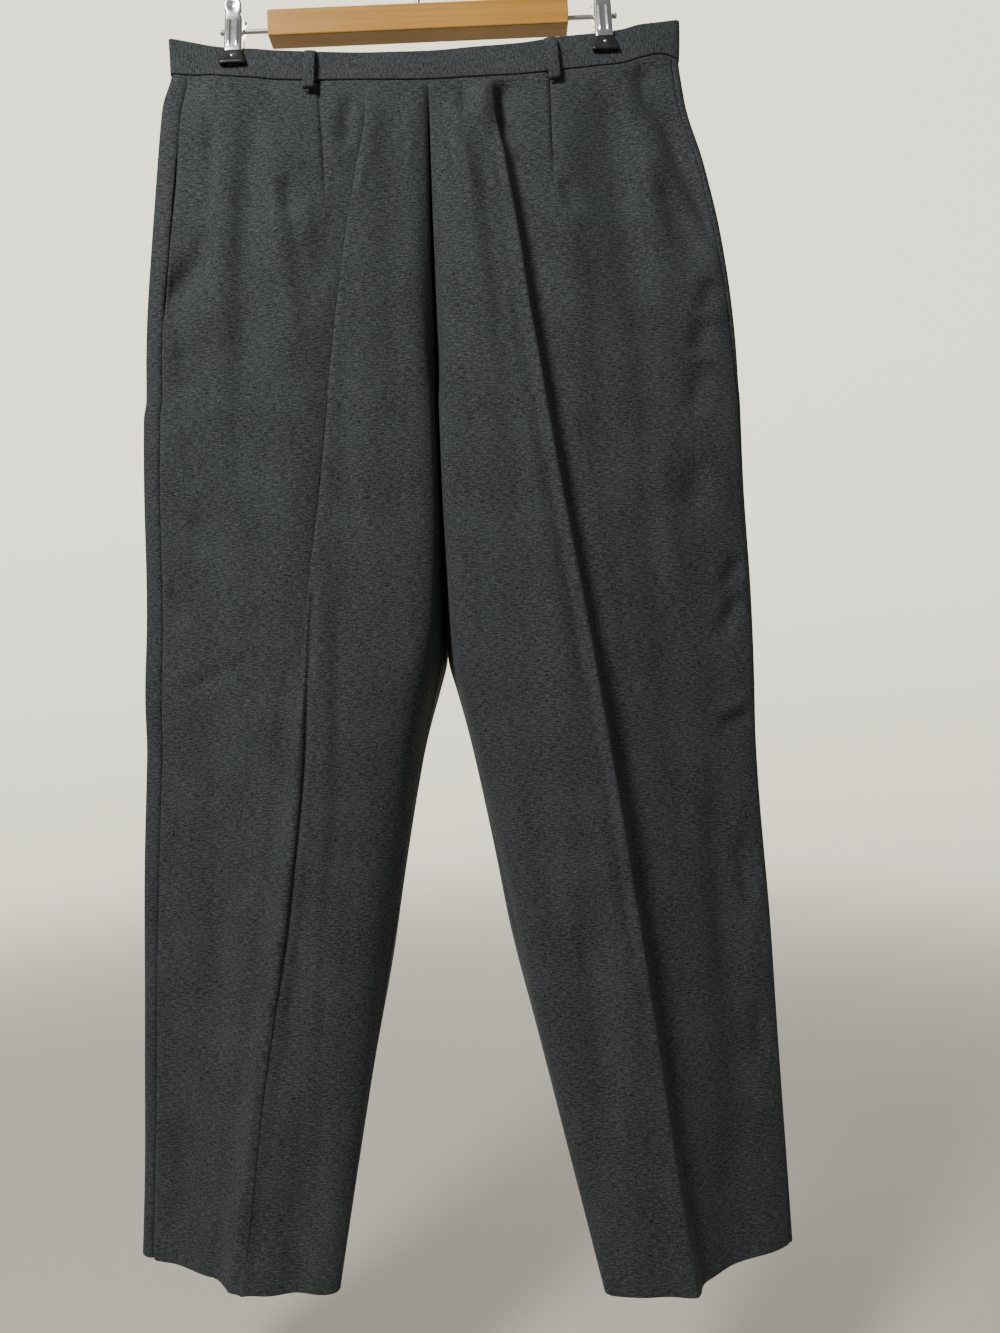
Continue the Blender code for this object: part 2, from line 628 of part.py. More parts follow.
def prism(name, outline, start, end, where, finish=None, place=Matrix(), axis=0):
    """An outline swept along one axis, from start to end."""
    shape = bmesh.new()
    verts = []
    for a, b in outline:
        at = (start, a, b) if axis == 0 else (a, start, b)
        verts.append(shape.verts.new(at))
    face = shape.faces.new(verts)
    swept = bmesh.ops.extrude_face_region(shape, geom=[face])
    moved = [v for v in swept["geom"] if isinstance(v, bmesh.types.BMVert)]
    way = Vector((end - start, 0, 0)) if axis == 0 else Vector((0, end - start, 0))
    bmesh.ops.translate(shape, vec=way, verts=moved)
    return finish_mesh(name, shape, where, finish, place)


def soften(made, width, segments=2):
    edge = made.modifiers.new("Edge", "BEVEL")
    edge.width = width * MM
    edge.segments = segments
    edge.limit_method = "ANGLE"
    edge.angle_limit = math.radians(40)


def cut(made, cutter, operation="DIFFERENCE"):
    cutter.hide_render = True
    cutter.display_type = "WIRE"
    change = made.modifiers.new("Cut", "BOOLEAN")
    change.operation = operation
    change.solver = "EXACT"
    change.object = cutter


def wire(name, path, diameter, where, finish, place=Matrix()):
    data = bpy.data.curves.new(name, "CURVE")
    data.dimensions = "3D"
    data.bevel_depth = diameter / 2 * MM
    data.bevel_resolution = 2
    data.use_fill_caps = True
    spline = data.splines.new("POLY")
    spline.points.add(len(path) - 1)
    for made, at in zip(spline.points, path):
        made.co = (at[0] * MM, at[1] * MM, at[2] * MM, 1.0)
        made.radius = 1.0
    spline.use_smooth = True
    made = add_object(name, data, where, finish)
    made.matrix_world = place
    return made


# ---------------------------------------------------------------- fly and waist closure
def closures(where, tape_finish, steel):
    """The zip lies behind both front edges, and its slider is at the top, under the flap."""
    drops = np.array([4.0, 40.0, 80.0, 120.0, FLY_LENGTH - 6.0])
    ends = []
    for side in (LEFT, RIGHT):
        sections = section_frame(side, drops)
        at = section_points(sections, sections[3][:, 15:])
        grid = to_row_frame(at, np.broadcast_to(drops[:, None], at.shape[:2]), side, 0.0)
        ends.append(grid[:, -1])
    centre = (ends[0] + ends[1]) / 2
    behind = CLOTH / 2 + FIT + ZIP_TAPE / 2 + 0.3
    rows = []
    for offset in (-ZIP_WIDTH / 2, 0.0, ZIP_WIDTH / 2):
        rows.append(centre + np.array([offset, -behind, 0.0]))
    grid = np.stack(rows[::-1], axis=1)
    grid[..., 0] += CENTRE_X - centre[:, None, 0]
    cloth_object("zip_tape", grid, where, tape_finish, ZIP_TAPE)
    run = Vector(centre[1] - centre[0])
    lean = math.atan2(run.y, -run.z)
    top = Vector((CENTRE_X, centre[0][1] - behind, centre[0][2] - 1.5)) * MM
    place = Matrix.Translation(top) @ Matrix.Rotation(lean, 4, "X")
    front = ZIP_TAPE / 2 + FIT + 0.1
    slider = box("zip_slider", (-1.6, front, -8.0), (3.0, front + 1.8, 0.0), where, steel, place)
    soften(slider, 0.4, 1)


def waist_hook_and_bar(where, steel):
    """A flat hook on the inside of the lapped end and a bar on the tongue behind it."""
    x = CENTRE_X - 11.0
    lapped = surface_at(LEFT, 1, np.array([x]), np.array([-22.0, -10.0]))[:, 0]
    lean = math.atan2(lapped[1][1] - lapped[0][1], lapped[0][2] - lapped[1][2])
    middle = Vector(lapped.mean(axis=0)) * MM
    place = Matrix.Translation(middle) @ Matrix.Rotation(lean, 4, "X")
    face = BAND_LAP_LIFT - BAND_THICKNESS / 2
    low = (-5.0, face - FIT - 1.0, -4.0)
    hook = box("waist_hook", low, (5.0, face - FIT, 4.0), where, steel, place)
    soften(hook, 0.3, 1)
    back = -face + FIT + 0.55
    ends = (-7.0, back, 0.0), (7.0, back, 0.0)
    cylinder("waist_bar", *ends, 0.5, 12, where, steel, place)


# ---------------------------------------------------------------- hanger
def hanger(where, cutters, wood, steel):
    half = BAR_LENGTH / 2
    low = (-half, -BAR_DEPTH / 2, BAR_TOP_Z - BAR_HEIGHT)
    place = bar_place()
    bar = box("hanger_bar", low, (half, BAR_DEPTH / 2, BAR_TOP_Z), where, wood, place)
    soften(bar, BAR_EDGE)
    hole = ROD_DIAMETER / 2 + FIT
    for side, name in ((LEFT, "left"), (RIGHT, "right")):
        inner = (side * (half - ROD_IN_BAR), 0, ROD_Z)
        bottom = (side * (half - ROD_IN_BAR - FIT), 0, ROD_Z)
        outside = (side * (half + 5), 0, ROD_Z)
        cut(bar, cylinder(f"rod_hole_{name}", bottom, outside, hole, 24, cutters, None, place))
        rod_end = (side * ROD_END, 0, ROD_Z)
        cylinder(f"rod_{name}", inner, rod_end, ROD_DIAMETER / 2, 24, where, steel, place)
    foot = BAR_TOP_Z - 14.0
    wide = HOOK_WIRE / 2 + FIT
    cut(bar, cylinder("hook_hole", (0, 0, foot - FIT), (0, 0, BAR_TOP_Z + 5), wide, 24, cutters))
    radius = HOOK_INSIDE_RADIUS + HOOK_WIRE / 2
    centre_z = HOOK_WIRE / 2 - radius
    start = math.radians(-48)
    join = np.array([radius * math.cos(start), centre_z + radius * math.sin(start)])
    neck = np.array([0.0, HOOK_NECK_TOP_Z])
    up = neck + np.array([0.0, 13.0])
    back = join - 9.0 * np.array([-math.sin(start), math.cos(start)])
    path = [(0.0, 0.0, foot), (0.0, 0.0, BAR_TOP_Z)]
    for t in np.linspace(0.0, 1.0, 8)[:-1]:
        at = neck * (1 - t) ** 3 + up * 3 * t * (1 - t) ** 2 + back * 3 * t**2 * (1 - t) + join * t**3
        path.append((at[0], 0.0, at[1]))
    for angle in np.radians(np.linspace(-48, 200, 25)):
        path.append((radius * math.cos(angle), 0.0, centre_z + radius * math.sin(angle)))
    wire("hanger_hook", path, HOOK_WIRE, where, steel)


def jaw_outline(facing):
    """The closed side outline of a jaw bent from sheet, around its mid line."""
    table = columns(JAW_COLUMNS, JAW)
    line = np.stack([facing * table["out"], -table["down"]], axis=-1)
    run = np.gradient(line, axis=0)
    run /= np.linalg.norm(run, axis=1)[:, None]
    across = np.stack([-run[:, 1], run[:, 0]], axis=-1) * JAW_SHEET / 2
    return [tuple(at) for at in np.concatenate([line + across, (line - across)[::-1]])]


def jaw(name, facing, ear_out, place, where, cutters, steel):
    """A bent sheet with a narrow tongue for the pad, and two ears round the rod."""
    half = JAW_WIDTH / 2
    made = prism(name, jaw_outline(facing), -half, half, where, steel, place)
    for side in (LEFT, RIGHT):
        first = (side * TONGUE_WIDTH / 2, -20.0, -40.0)
        second = (side * (half + 3), 20.0, -PAD_DOWN + 1.2)
        low = [min(a, b) for a, b in zip(first, second)]
        high = [max(a, b) for a, b in zip(first, second)]
        cut(made, box(f"{name}_tongue_{side}", low, high, cutters, None, place))
        corner = prism(
            f"{name}_corner_{side}",
            [(side * 3.2, 27.0), (side * (half + 2), 27.0), (side * (half + 2), 19.0)],
            -20.0, 20.0, cutters, None, place, axis=1,
        )
        cut(made, corner)
        turns = np.radians(np.linspace(-60, 240, 13))
        ear = [(facing * -EAR_RADIUS * math.sin(t), EAR_RADIUS * math.cos(t)) for t in turns]
        ear = [(facing * 6.9, 7.0)] + ear + [(facing * 6.9, -7.0)]
        ends = sorted((side * (ear_out - JAW_SHEET / 2), side * (ear_out + JAW_SHEET / 2)))
        cut(made, prism(f"{name}_ear_{side}", ear, *ends, cutters, None, place), "UNION")
    hole = ROD_DIAMETER / 2 + FIT
    through = (-half - 3, 0, 0), (half + 3, 0, 0)
    cut(made, cylinder(f"{name}_hole", *through, hole, 20, cutters, None, place))
    return made


def pad(name, facing, inner, place, where, cutters, rubber, steel):
    """A tapered block of rubber with a slot for the jaw's tongue and a rivet through it."""
    top, low = PAD_TOP_WIDTH / 2, PAD_LOW_WIDTH / 2
    foot = PAD_DOWN + PAD_HEIGHT
    outline = [
        (-top + 1.0, -PAD_DOWN), (top - 1.0, -PAD_DOWN), (top, -PAD_DOWN - 1.0),
        (low - 0.4, -foot + 3.4), (low, -foot + 1.8), (low - 1.2, -foot + 0.3),
        (low - 3.0, -foot), (-low + 3.0, -foot), (-low + 1.2, -foot + 0.3),
        (-low, -foot + 1.8), (-low + 0.4, -foot + 3.4), (-top, -PAD_DOWN - 1.0),
    ]
    outer = inner + PAD_THICKNESS
    span = facing * inner, facing * outer
    made = prism(name, outline, *span, where, rubber, place, axis=1)
    soften(made, 0.6, 2)
    middle = inner + PAD_THICKNESS / 2
    slot = JAW_SHEET / 2 + FIT
    half = TONGUE_WIDTH / 2 + FIT
    slot_low = min(facing * (middle - slot), facing * (middle + slot))
    low_at = (-half, slot_low, -JAW[0][0] - FIT)
    high_at = (half, slot_low + 2 * slot, -PAD_DOWN + 3)
    cut(made, box(f"{name}_slot", low_at, high_at, cutters, None, place))
    down = -PAD_DOWN - PAD_HEIGHT / 2 + 0.6
    shank = RIVET_SHANK / 2
    start = (0, facing * (middle + slot - 0.1), down)
    end = (0, facing * (outer + 3), down)
    cut(made, cylinder(f"{name}_rivet_hole", start, end, shank + FIT, 16, cutters, None, place))
    rivet_start = (0, facing * (middle + JAW_SHEET / 2 + FIT), down)
    rivet_end = (0, facing * (outer + FIT + 0.4), down)
    head_start = (0, facing * (outer + FIT), down)
    head_end = (0, facing * (outer + FIT + 0.8), down)
    rivet = cylinder(f"{name}_rivet", head_start, head_end, RIVET_HEAD / 2, 16, where, steel, place, 1.0)
    stem = cylinder(f"{name}_stem", rivet_start, rivet_end, shank, 16, cutters, None, place)
    cut(rivet, stem, "UNION")
    return made


def spring(name, place, where, steel):
    """A torsion spring round the rod, its two ends bearing on the jaws above it."""
    radius = ROD_DIAMETER / 2 + FIT + SPRING_WIRE / 2 + 0.1
    reach = 4.6
    width = 7.0
    path = []
    arm = 12.0
    lean = math.atan2(reach, arm)
    path.append((-width / 2, -reach - 0.4, arm))
    sweep = 2 * math.pi * SPRING_TURNS + math.pi + 2 * lean
    count = SPRING_TURNS * 9 + 6
    for i in range(count + 1):
        angle = math.pi + sweep * i / count
        x = -width / 2 + width * i / count
        path.append((x, radius * math.cos(angle), radius * math.sin(angle)))
    path.append((width / 2, reach + 0.4, arm))
    return wire(name, path, SPRING_WIRE, where, steel, place)


def clips(where, cutters, chrome, rubber, steel):
    inner = BAND_THICKNESS + PINCH_GAP / 2 + FIT
    for side, name, tilt in ((LEFT, "left", CLIP_TILT_LEFT), (RIGHT, "right", CLIP_TILT_RIGHT)):
        at = bar_place() @ Matrix.Translation((side * CLIP_OUT * MM, 0, ROD_Z * MM))
        place = at @ Matrix.Rotation(-tilt, 4, "X")
        jaw(f"clip_jaw_back_{name}", 1, 5.4, place, where, cutters, chrome)
        jaw(f"clip_jaw_front_{name}", -1, 7.0, place, where, cutters, chrome)
        pad(f"clip_pad_back_{name}", 1, inner, place, where, cutters, rubber, chrome)
        pad(f"clip_pad_front_{name}", -1, inner, place, where, cutters, rubber, chrome)
        spring(f"clip_spring_{name}", place, where, steel)


def main():
    clear_scene()
    where = collection("trousers_on_clip_hanger")
    cutters = collection("cutters")
    cutters.hide_render = True
    cloth = material("heather_wool", (0.060, 0.070, 0.073), 0.9)
    tape = material("zip_tape_cloth", (0.045, 0.050, 0.052), 0.85)
    steel = material("bright_steel", (0.60, 0.60, 0.60), 0.3, 1.0)
    chrome = material("chrome", (0.75, 0.75, 0.76), 0.12, 1.0)
    rubber = material("dark_rubber", (0.035, 0.035, 0.037), 0.45)
    wood = material("light_wood", (0.58, 0.33, 0.13), 0.5)
    panels(where, cloth)
    waistbands(where, cloth)
    belt_loops(where, cloth)
    closures(where, tape, steel)
    waist_hook_and_bar(where, steel)
    hanger(where, cutters, wood, steel)
    clips(where, cutters, chrome, rubber, steel)


main()
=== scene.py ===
import math

import bpy
import numpy as np
from mathutils import Matrix, Vector


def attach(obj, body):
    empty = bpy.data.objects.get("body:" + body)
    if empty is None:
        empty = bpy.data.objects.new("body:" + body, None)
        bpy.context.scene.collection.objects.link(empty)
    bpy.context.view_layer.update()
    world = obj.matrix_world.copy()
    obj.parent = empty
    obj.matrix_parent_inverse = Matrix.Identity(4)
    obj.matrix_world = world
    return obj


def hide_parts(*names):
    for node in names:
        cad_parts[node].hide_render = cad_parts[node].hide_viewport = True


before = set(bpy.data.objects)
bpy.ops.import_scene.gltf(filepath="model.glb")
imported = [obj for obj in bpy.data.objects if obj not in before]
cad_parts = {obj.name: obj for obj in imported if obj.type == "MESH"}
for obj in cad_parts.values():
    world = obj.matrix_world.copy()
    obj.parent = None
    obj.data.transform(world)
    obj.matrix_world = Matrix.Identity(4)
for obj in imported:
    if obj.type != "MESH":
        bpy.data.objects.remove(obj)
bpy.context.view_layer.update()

mm = 0.001
left, right = -1, 1
sideNames = {left: "left", right: "right"}
print("frame loaded:", len(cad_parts), "solids")

# the garment, in millimetres from the inside top of the hanger's hook
garment = {
    "centreX": 7.0,  # where the centre seams lie across the hanger
    "seamZ": -151.6,  # height of the waist seam at the centre back
    "hemDrop": 988.0,
    "crotchDrop": 272.0,
    "hemSlope": 0.16,
    "cloth": 1.2,
    "band": 2.2,
    "bandHeight": 31.9,
    "seamGap": 0.3,
    "sideGap": 0.44,
    "hemMiddle": {left: -4.0, right: -20.0},
    "rightLegForward": 17.0,
    "flyLength": 165.0,
    "flyFlap": 10.0,
    "flyEdge": 4.5,
    "flyLift": 2.7,
    "underlap": 30.0,
}

# height of the band's top edge and of the waist seam along the garment
waistColumns = ("x", "top", "seam")
waist = (
    (-217, -103.5, -133.5), (-198, -108.5, -138), (-160, -116, -143.6), (-100, -120.3, -148.9),
    (-40, -122.6, -150.4), (5, -122.7, -151.6), (50, -120.4, -150.6), (85, -119, -149.6),
    (116, -115.8, -147.4), (149, -113.4, -144.4), (170, -110.8, -142.4), (186, -107.5, -137.4),
    (203, -106, -133.9), (222, -103.6, -138.4),
)

# one row for each level of the back: side, middle of the outer half, foot of the crease's
# outer flank, crease and inner corner, each with its distance out and its depth
backColumns = (
    "drop", "side", "sideY", "cap", "mid", "midY", "flank", "flankY",
    "crease", "creaseY", "inner", "innerY", "seamY", "wrap", "corner",
)
backTable = {
    left: (
        (-32, 218, 0, 6, 160, -6.5, 63.5, -4.5, 50.5, -4.2, 14, -4, -4, 18, 3),
        (0, 217, -1, 7, 160, -14.5, 63.5, -14.2, 50.5, -14.2, 14, -14, -14, 22, 3),
        (32, 225, -0.5, 10, 165, -19, 66, -23.5, 52, -24, 13, -21.5, -17, 28, 7),
        (82, 231.5, -2, 13, 168, -25, 75.2, -33, 60.2, -34, 12, -31.5, -23.5, 32, 9),
        (142, 237.5, -5, 14, 172, -30.5, 86.3, -40.5, 70.3, -41.5, 10, -39.5, -28, 33, 10),
        (202, 242.5, -8, 14, 176, -33, 95.8, -44.5, 78.8, -45.5, 8, -44, -24, 32, 12),
        (262, 246.5, -8, 14, 180, -33, 104.2, -46.5, 86.2, -47.5, 2, -47, -8, 32, 13),
        (272, 247, -7.7, 14, 181, -33, 105.2, -46.7, 87.2, -47.7, 0.7, -47.3, -2, 32, 13),
        (342, 249.5, -5, 14, 184, -30.5, 115.2, -47, 95.7, -48.5, 0.7, -48.5, -2, 31, 12),
        (442, 252, 0, 14, 190, -25, 132.2, -44.5, 110.2, -49, 5, -47.5, -2, 31, 12),
        (572, 262, 6, 13, 198, -18, 144.8, -35, 120.8, -48, 35, -44.5, -2, 29, 24),
        (712, 270.5, 12, 13, 208, -10, 167.3, -29, 141.3, -46, 58, -43.5, -2, 27, 24),
        (852, 277.5, 17, 12, 222, -4, 194.2, -22.5, 167.2, -43, 79, -42.5, -2, 25, 24),
        (988, 285.5, 21.5, 12, 240, -3, 218.1, -16.5, 191.1, -40, 98, -42.5, -2, 24, 22),
    ),
    right: (
        (-32, 213, 0, 6, 155, -6.5, 64.5, -4.5, 52.5, -4.2, 14, -4, -4, 12, 3),
        (0, 211.5, -1, 7, 155, -14, 64.5, -13.8, 52.5, -14, 14, -14, -14, 13, 3),
        (32, 215, -0.5, 10, 160, -18, 64.8, -19, 55.3, -26, 13, -21, -17, 17, 6),
        (82, 230, -2, 13, 166, -24, 71.8, -27.5, 61.8, -36.5, 12, -30, -23.5, 20, 7),
        (142, 241.5, -5, 14, 172, -29.5, 81.2, -34, 70.2, -44, 10, -37.5, -28, 19, 8),
        (202, 247.5, -8, 14, 177, -32.5, 88.8, -37.5, 77.3, -48.5, 8, -42.5, -24, 17, 8),
        (262, 251, -8, 14, 181, -33, 97.8, -39.5, 85.8, -51.5, 2, -45.5, -8, 13, 8),
        (272, 251.3, -7.8, 14, 182, -33, 99, -39.6, 87, -51.7, 0.7, -46, -2, 12, 8),
        (342, 252.5, -6.5, 14, 186, -31, 110, -40.5, 97, -53, 0.7, -47, -2, 10, 8),
        (442, 256.5, -5, 14, 193, -28.5, 127.2, -40.5, 112.7, -54.5, 5, -47.5, -2, 8, 9),
        (572, 259, -3, 13, 203, -25, 148.7, -40, 131.7, -56.5, 29, -48.5, -2, 6, 14),
        (712, 265.3, -0.5, 13, 214, -21, 169.8, -39.5, 150.3, -58.5, 55, -50.5, -2, 6, 12),
        (852, 271.2, 2.5, 12, 226, -17.5, 188.8, -39, 166.8, -60, 83.5, -53.5, -2, 8, 10),
        (988, 276.2, 5.6, 12, 239, -17.5, 210.5, -39, 185.5, -60, 111, -55.5, -2, 14, 8),
    ),
}

# the front: middle of the outer half, the pleat that runs down as the crease, how deep the
# pleat tucks under, the inner corner, and where the inseam lies between the inner corners
frontColumns = (
    "drop", "mid", "midY", "pleat", "pleatY", "tuck", "inner", "innerY", "seamY", "inseam",
)
frontTable = (
    (-32, 160, -3.9, 108, 2.5, 0, 24, 9, 10, 0.78), (0, 160, -11.6, 106, 0, 16, 24, 5, 6, 0.78),
    (32, 165, -5, 106, 6.5, 15, 24, 9, 9.5, 0.78),
    (82, 170, 2.5, 109, 13.5, 10, 22, 11.5, 11.5, 0.78),
    (142, 172, 6.5, 114, 19.5, 3, 18, 13, 12, 0.78), (202, 174, 9, 119, 23, 0, 12, 13, 10.5, 0.78),
    (262, 176, 11, 123, 25, 0, 2.5, 11, 1, 0.78),
    (272, 176.5, 11.3, 124, 25.2, 0, 0.7, 10.8, -2, 0.78),
    (342, 180, 13.5, 128, 27, 0, 0.7, 13, -2, 0.76),
    (442, 186, 18, 134, 29.5, 0, 0.7, 14, -2, 0.72),
    (482, 188.3, 19.7, 135.8, 29.9, 0, 0.8, 13, -2, 0.69),
    (510, 190, 21, 137, 30.2, 0, 5.5, 12, -2, 0.67), (572, 195, 24, 140, 31, 0, 18, 8.5, -2, 0.62),
    (712, 205, 29, 147, 32.5, 0, 44, 0.5, -2, 0.52),
    (852, 217, 32, 156, 33.5, 0, 76, -9, -2, 0.42),
    (988, 230, 33.5, 167, 33.5, 0, 112, -24, -2, 0.36),
)

# the largest folds, which the solids have too: out and drop of both ends, half width, and
# height out of the cloth
largeFolds = {
    left: (
        (208, 60, 200, 190, 13, -3), (178, 40, 172, 230, 12, 2.6), (146, 70, 150, 240, 11, -2.2),
        (196, 150, 222, 196, 11, -2.4), (120, 60, 132, 190, 10, 1.8),
    ),
    right: (
        (146, 14, 186, 92, 11, -5.5), (186, 92, 222, 165, 12, -6), (108, 60, 122, 260, 14, 2.2),
        (222, 210, 232, 330, 12, -2.2), (160, 150, 172, 320, 16, -2.4),
    ),
    "front": (
        (150, 30, 176, 150, 12, -3.5), (196, 60, 214, 200, 13, -3), (60, 30, 74, 210, 14, 2.6),
        (40, 90, 52, 250, 12, -2.4),
    ),
}

# small folds, dents and ironing marks on top of those, each as uneven as cloth is
smallFolds = {
    left: (
        (184, 124, 216, 180, 10, -6.4), (181, 30, 185, 120, 7, -4.4), (208, 60, 205, 120, 6, 2.9),
        (148, 24, 158, 175, 8, -4.6), (157, 170, 166, 350, 11, -4.2), (134, 50, 112, 220, 6, 3.7),
        (119, 90, 117, 119, 6, -5.5), (104, 108, 101, 142, 5, 3.5), (66, 16, 72, 60, 6, -4.2),
        (77, 92, 95, 190, 9, -2.2), (44, 30, 58, 112, 7, 1.8), (212, 222, 206, 262, 8, -3.9),
        (208, 296, 200, 338, 8, -3.7), (205, 360, 196, 394, 7, -3.2),
        (227, 420, 214, 450, 7, -3.2), (226, 507, 158, 479, 5, -2.4),
        (222, 570, 190, 600, 8, -2.2), (190, 640, 205, 800, 14, -3.7),
        (226, 820, 240, 960, 14, -3.5), (84, 440, 91, 600, 5, -1.9), (90, 590, 107, 730, 5, -1.7),
        (105, 710, 116, 955, 5, -1.7), (152, 785, 76, 788, 2.5, -0.8),
        (146, 900, 136, 1040, 19, -4.6),
    ),
    right: (
        (168, -20, 192, 62, 12, -6), (196, 44, 234, 142, 12, -9.5), (150, -10, 188, 118, 12, 5),
        (229, 180, 221, 208, 9, -4.2), (223, 212, 214, 242, 9, -4.2),
        (219, 250, 210, 290, 10, -3.8), (216, 326, 207, 366, 10, -3.2),
        (145, -10, 166, 210, 20, -8.8), (110, 96, 117, 124, 6, -4.4), (47, 0, 47, 46, 8, 4.2),
        (63, -10, 60, 62, 8, -7), (29, 2, 30, 36, 5, -4), (40, 60, 56, 230, 8, -3.9),
        (18, 24, 37, 116, 7, 3.7), (179, 320, 190, 450, 12, 4.3), (246, 408, 230, 438, 8, -3.6),
        (245, 440, 226, 474, 8, -3.8), (222, 537, 250, 525, 6, 2.6), (224, 550, 250, 540, 7, -2.6),
        (240, 640, 246, 700, 8, -4.2), (248, 780, 252, 830, 8, -3.5),
        (104, 690, 120, 880, 13, -4.6), (64, 560, 90, 760, 9, -2.2),
        (214, 600, 226, 780, 14, -3.7), (216, 880, 224, 1050, 15, -5),
    ),
    "front": (
        (206, 130, 186, 180, 6, -1.9), (150, 180, 158, 320, 9, -1.2), (92, 60, 96, 150, 5, 0.9),
        (72, 120, 66, 230, 7, -1.3), (30, 200, 64, 262, 7, -1.8), (24, 240, 48, 300, 6, -1.4),
        (232, 470, 178, 498, 5, -1.6), (226, 520, 188, 540, 6, -1), (100, 560, 74, 584, 6, -1.1),
        (196, 700, 206, 850, 12, -1.1), (110, 700, 124, 900, 10, -1),
    ),
}

# marks that run along a crease: distance outside it, the drops from and to, width on its
# outside and its inside, the power it falls by (1 is sharp, 2 is round), and height
creaseMarks = {
    left: (
        (0.9, 0, 540, 28, 0.9, 1, -11), (1.5, 420, 1200, 2.5, 2.5, 2, 1.2),
        (-4.4, 400, 760, 2.6, 3.4, 2, -4.2), (-4.6, 700, 1200, 2.8, 4.5, 2, -2.2),
        (-15, 470, 1200, 8, 8, 2, -1), (17, 480, 1200, 7, 9, 2, -3.2),
        (-15, 640, 1000, 12, 14, 2, -4.2), (-50, 830, 1040, 36, 17, 2, -3),
    ),
    right: (
        (-1.6, 10, 680, 2.4, 2.6, 2, 1.8), (-9, 60, 760, 4.5, 7, 2, -3.6),
        (9.5, -40, 1200, 9, 6.5, 2, -5.5), (20, 470, 1200, 15, 12, 2, -4.2),
    ),
    "front": (
        (-5, 260, 1200, 4, 4, 2, -1.6), (1, 260, 1200, 5, 5, 2, 1.2),
        (9, 300, 1200, 7, 7, 2, -1.2),
    ),
}

# the darts' ends, out and drop, from the waist seam down to their points
darts = {
    left: (93.3, -30, 86.6, 108),
    right: (102.2, -30, 101.1, 104),
    "depth": 3.6,
    "halfWidth": 1.5,
}

clip = {
    "out": 156.0,
    "tilt": {left: math.radians(16.0), right: math.radians(13.0)},
    "rodZ": -96.9,
    "barTilt": math.radians(0.6),
    "pinchGap": 0.4,
}


def columnsOf(names, rows):
    return {name: np.array([row[i] for row in rows], float) for i, name in enumerate(names)}


# arrays side by side, so that the last axis holds a point's coordinates
def stacked(*parts):
    return np.stack(np.broadcast_arrays(*parts), axis=-1)


def unit(vectors, least=1e-9):
    return vectors / np.maximum(np.linalg.norm(vectors, axis=-1, keepdims=True), least)


# a cubic through a column of a table that never overshoots: each tangent is the harmonic
# mean of the slopes on its two sides, and nought where they differ in sign
def throughTable(places, values, at):
    at = np.clip(at, places[0], places[-1])
    step = np.diff(places)
    slope = np.diff(values) / step
    before, after = slope[:-1], slope[1:]
    same = before * after > 0
    middle = np.where(same, 2 * before * after / np.where(same, before + after, 1), 0)
    tangent = np.concatenate([slope[:1], middle, slope[-1:]])
    k = np.clip(np.searchsorted(places, at, side="right") - 1, 0, len(step) - 1)
    s = (at - places[k]) / step[k]
    rise = values[k + 1] - values[k]
    start, end = tangent[k] * step[k], tangent[k + 1] * step[k]
    curved = s**2 * (3 * rise - 2 * start - end) + s**3 * (start + end - 2 * rise)
    return values[k] + s * start + curved


# 1 before start, 0 after end, and three s squared less two s cubed between them
def fadeOut(value, start, end):
    s = np.clip((value - start) / (end - start), 0, 1)
    return 1 - s * s * (3 - 2 * s)


def fadeIn(value, start, end):
    return 1 - fadeOut(value, start, end)


def atDrops(names, rows, drops):
    table = columnsOf(names, rows)
    return {name: throughTable(table["drop"], table[name], drops) for name in names}


def waistHeight(column, x):
    table = columnsOf(waistColumns, waist)
    return throughTable(table["x"], table[column], x)


# where the back and the front end: on the centre seams above the crotch, and on the inseam,
# a share of the way between the two inner corners, below it
def innerSeams(back, front, drops):
    corners = [stacked(part["inner"], part["innerY"]) for part in (back, front)]
    inseam = corners[0] + front["inseam"][:, None] * (corners[1] - corners[0])
    gap, least = garment["seamGap"] / 2, 0.01
    ends = []
    for corner, seamY in zip(corners, (back["seamY"], front["seamY"])):
        turned = np.abs(unit(corner - stacked(0, seamY), least)[:, 1])
        centre = stacked(gap + garment["cloth"] / 2 * turned, seamY)
        low = inseam + unit(corner - inseam, least) * gap
        ends.append(np.where((drops < garment["crotchDrop"])[:, None], centre, low))
    return ends


# the corners that the pleat folds round: how much of the tuck each is out by, its place from
# the pleat's edge, and how far along the flat front it lies where the pleat has opened
pleatCorners = (
    (0, 0, -2.4, 2.4), (1, 0, -2.7, 5), (1, 0, -5.1, 7.5), (0, -4, -4.8, 12), (0, -15, -0.8, 20),
)


# where the named corners come in a section
cornerAt = {
    "crease": 2, "flank": 3, "mid": 4, "sideBack": 5, "sideFront": 6, "frontMid": 7, "pleat": 8,
    "end": 15,
}


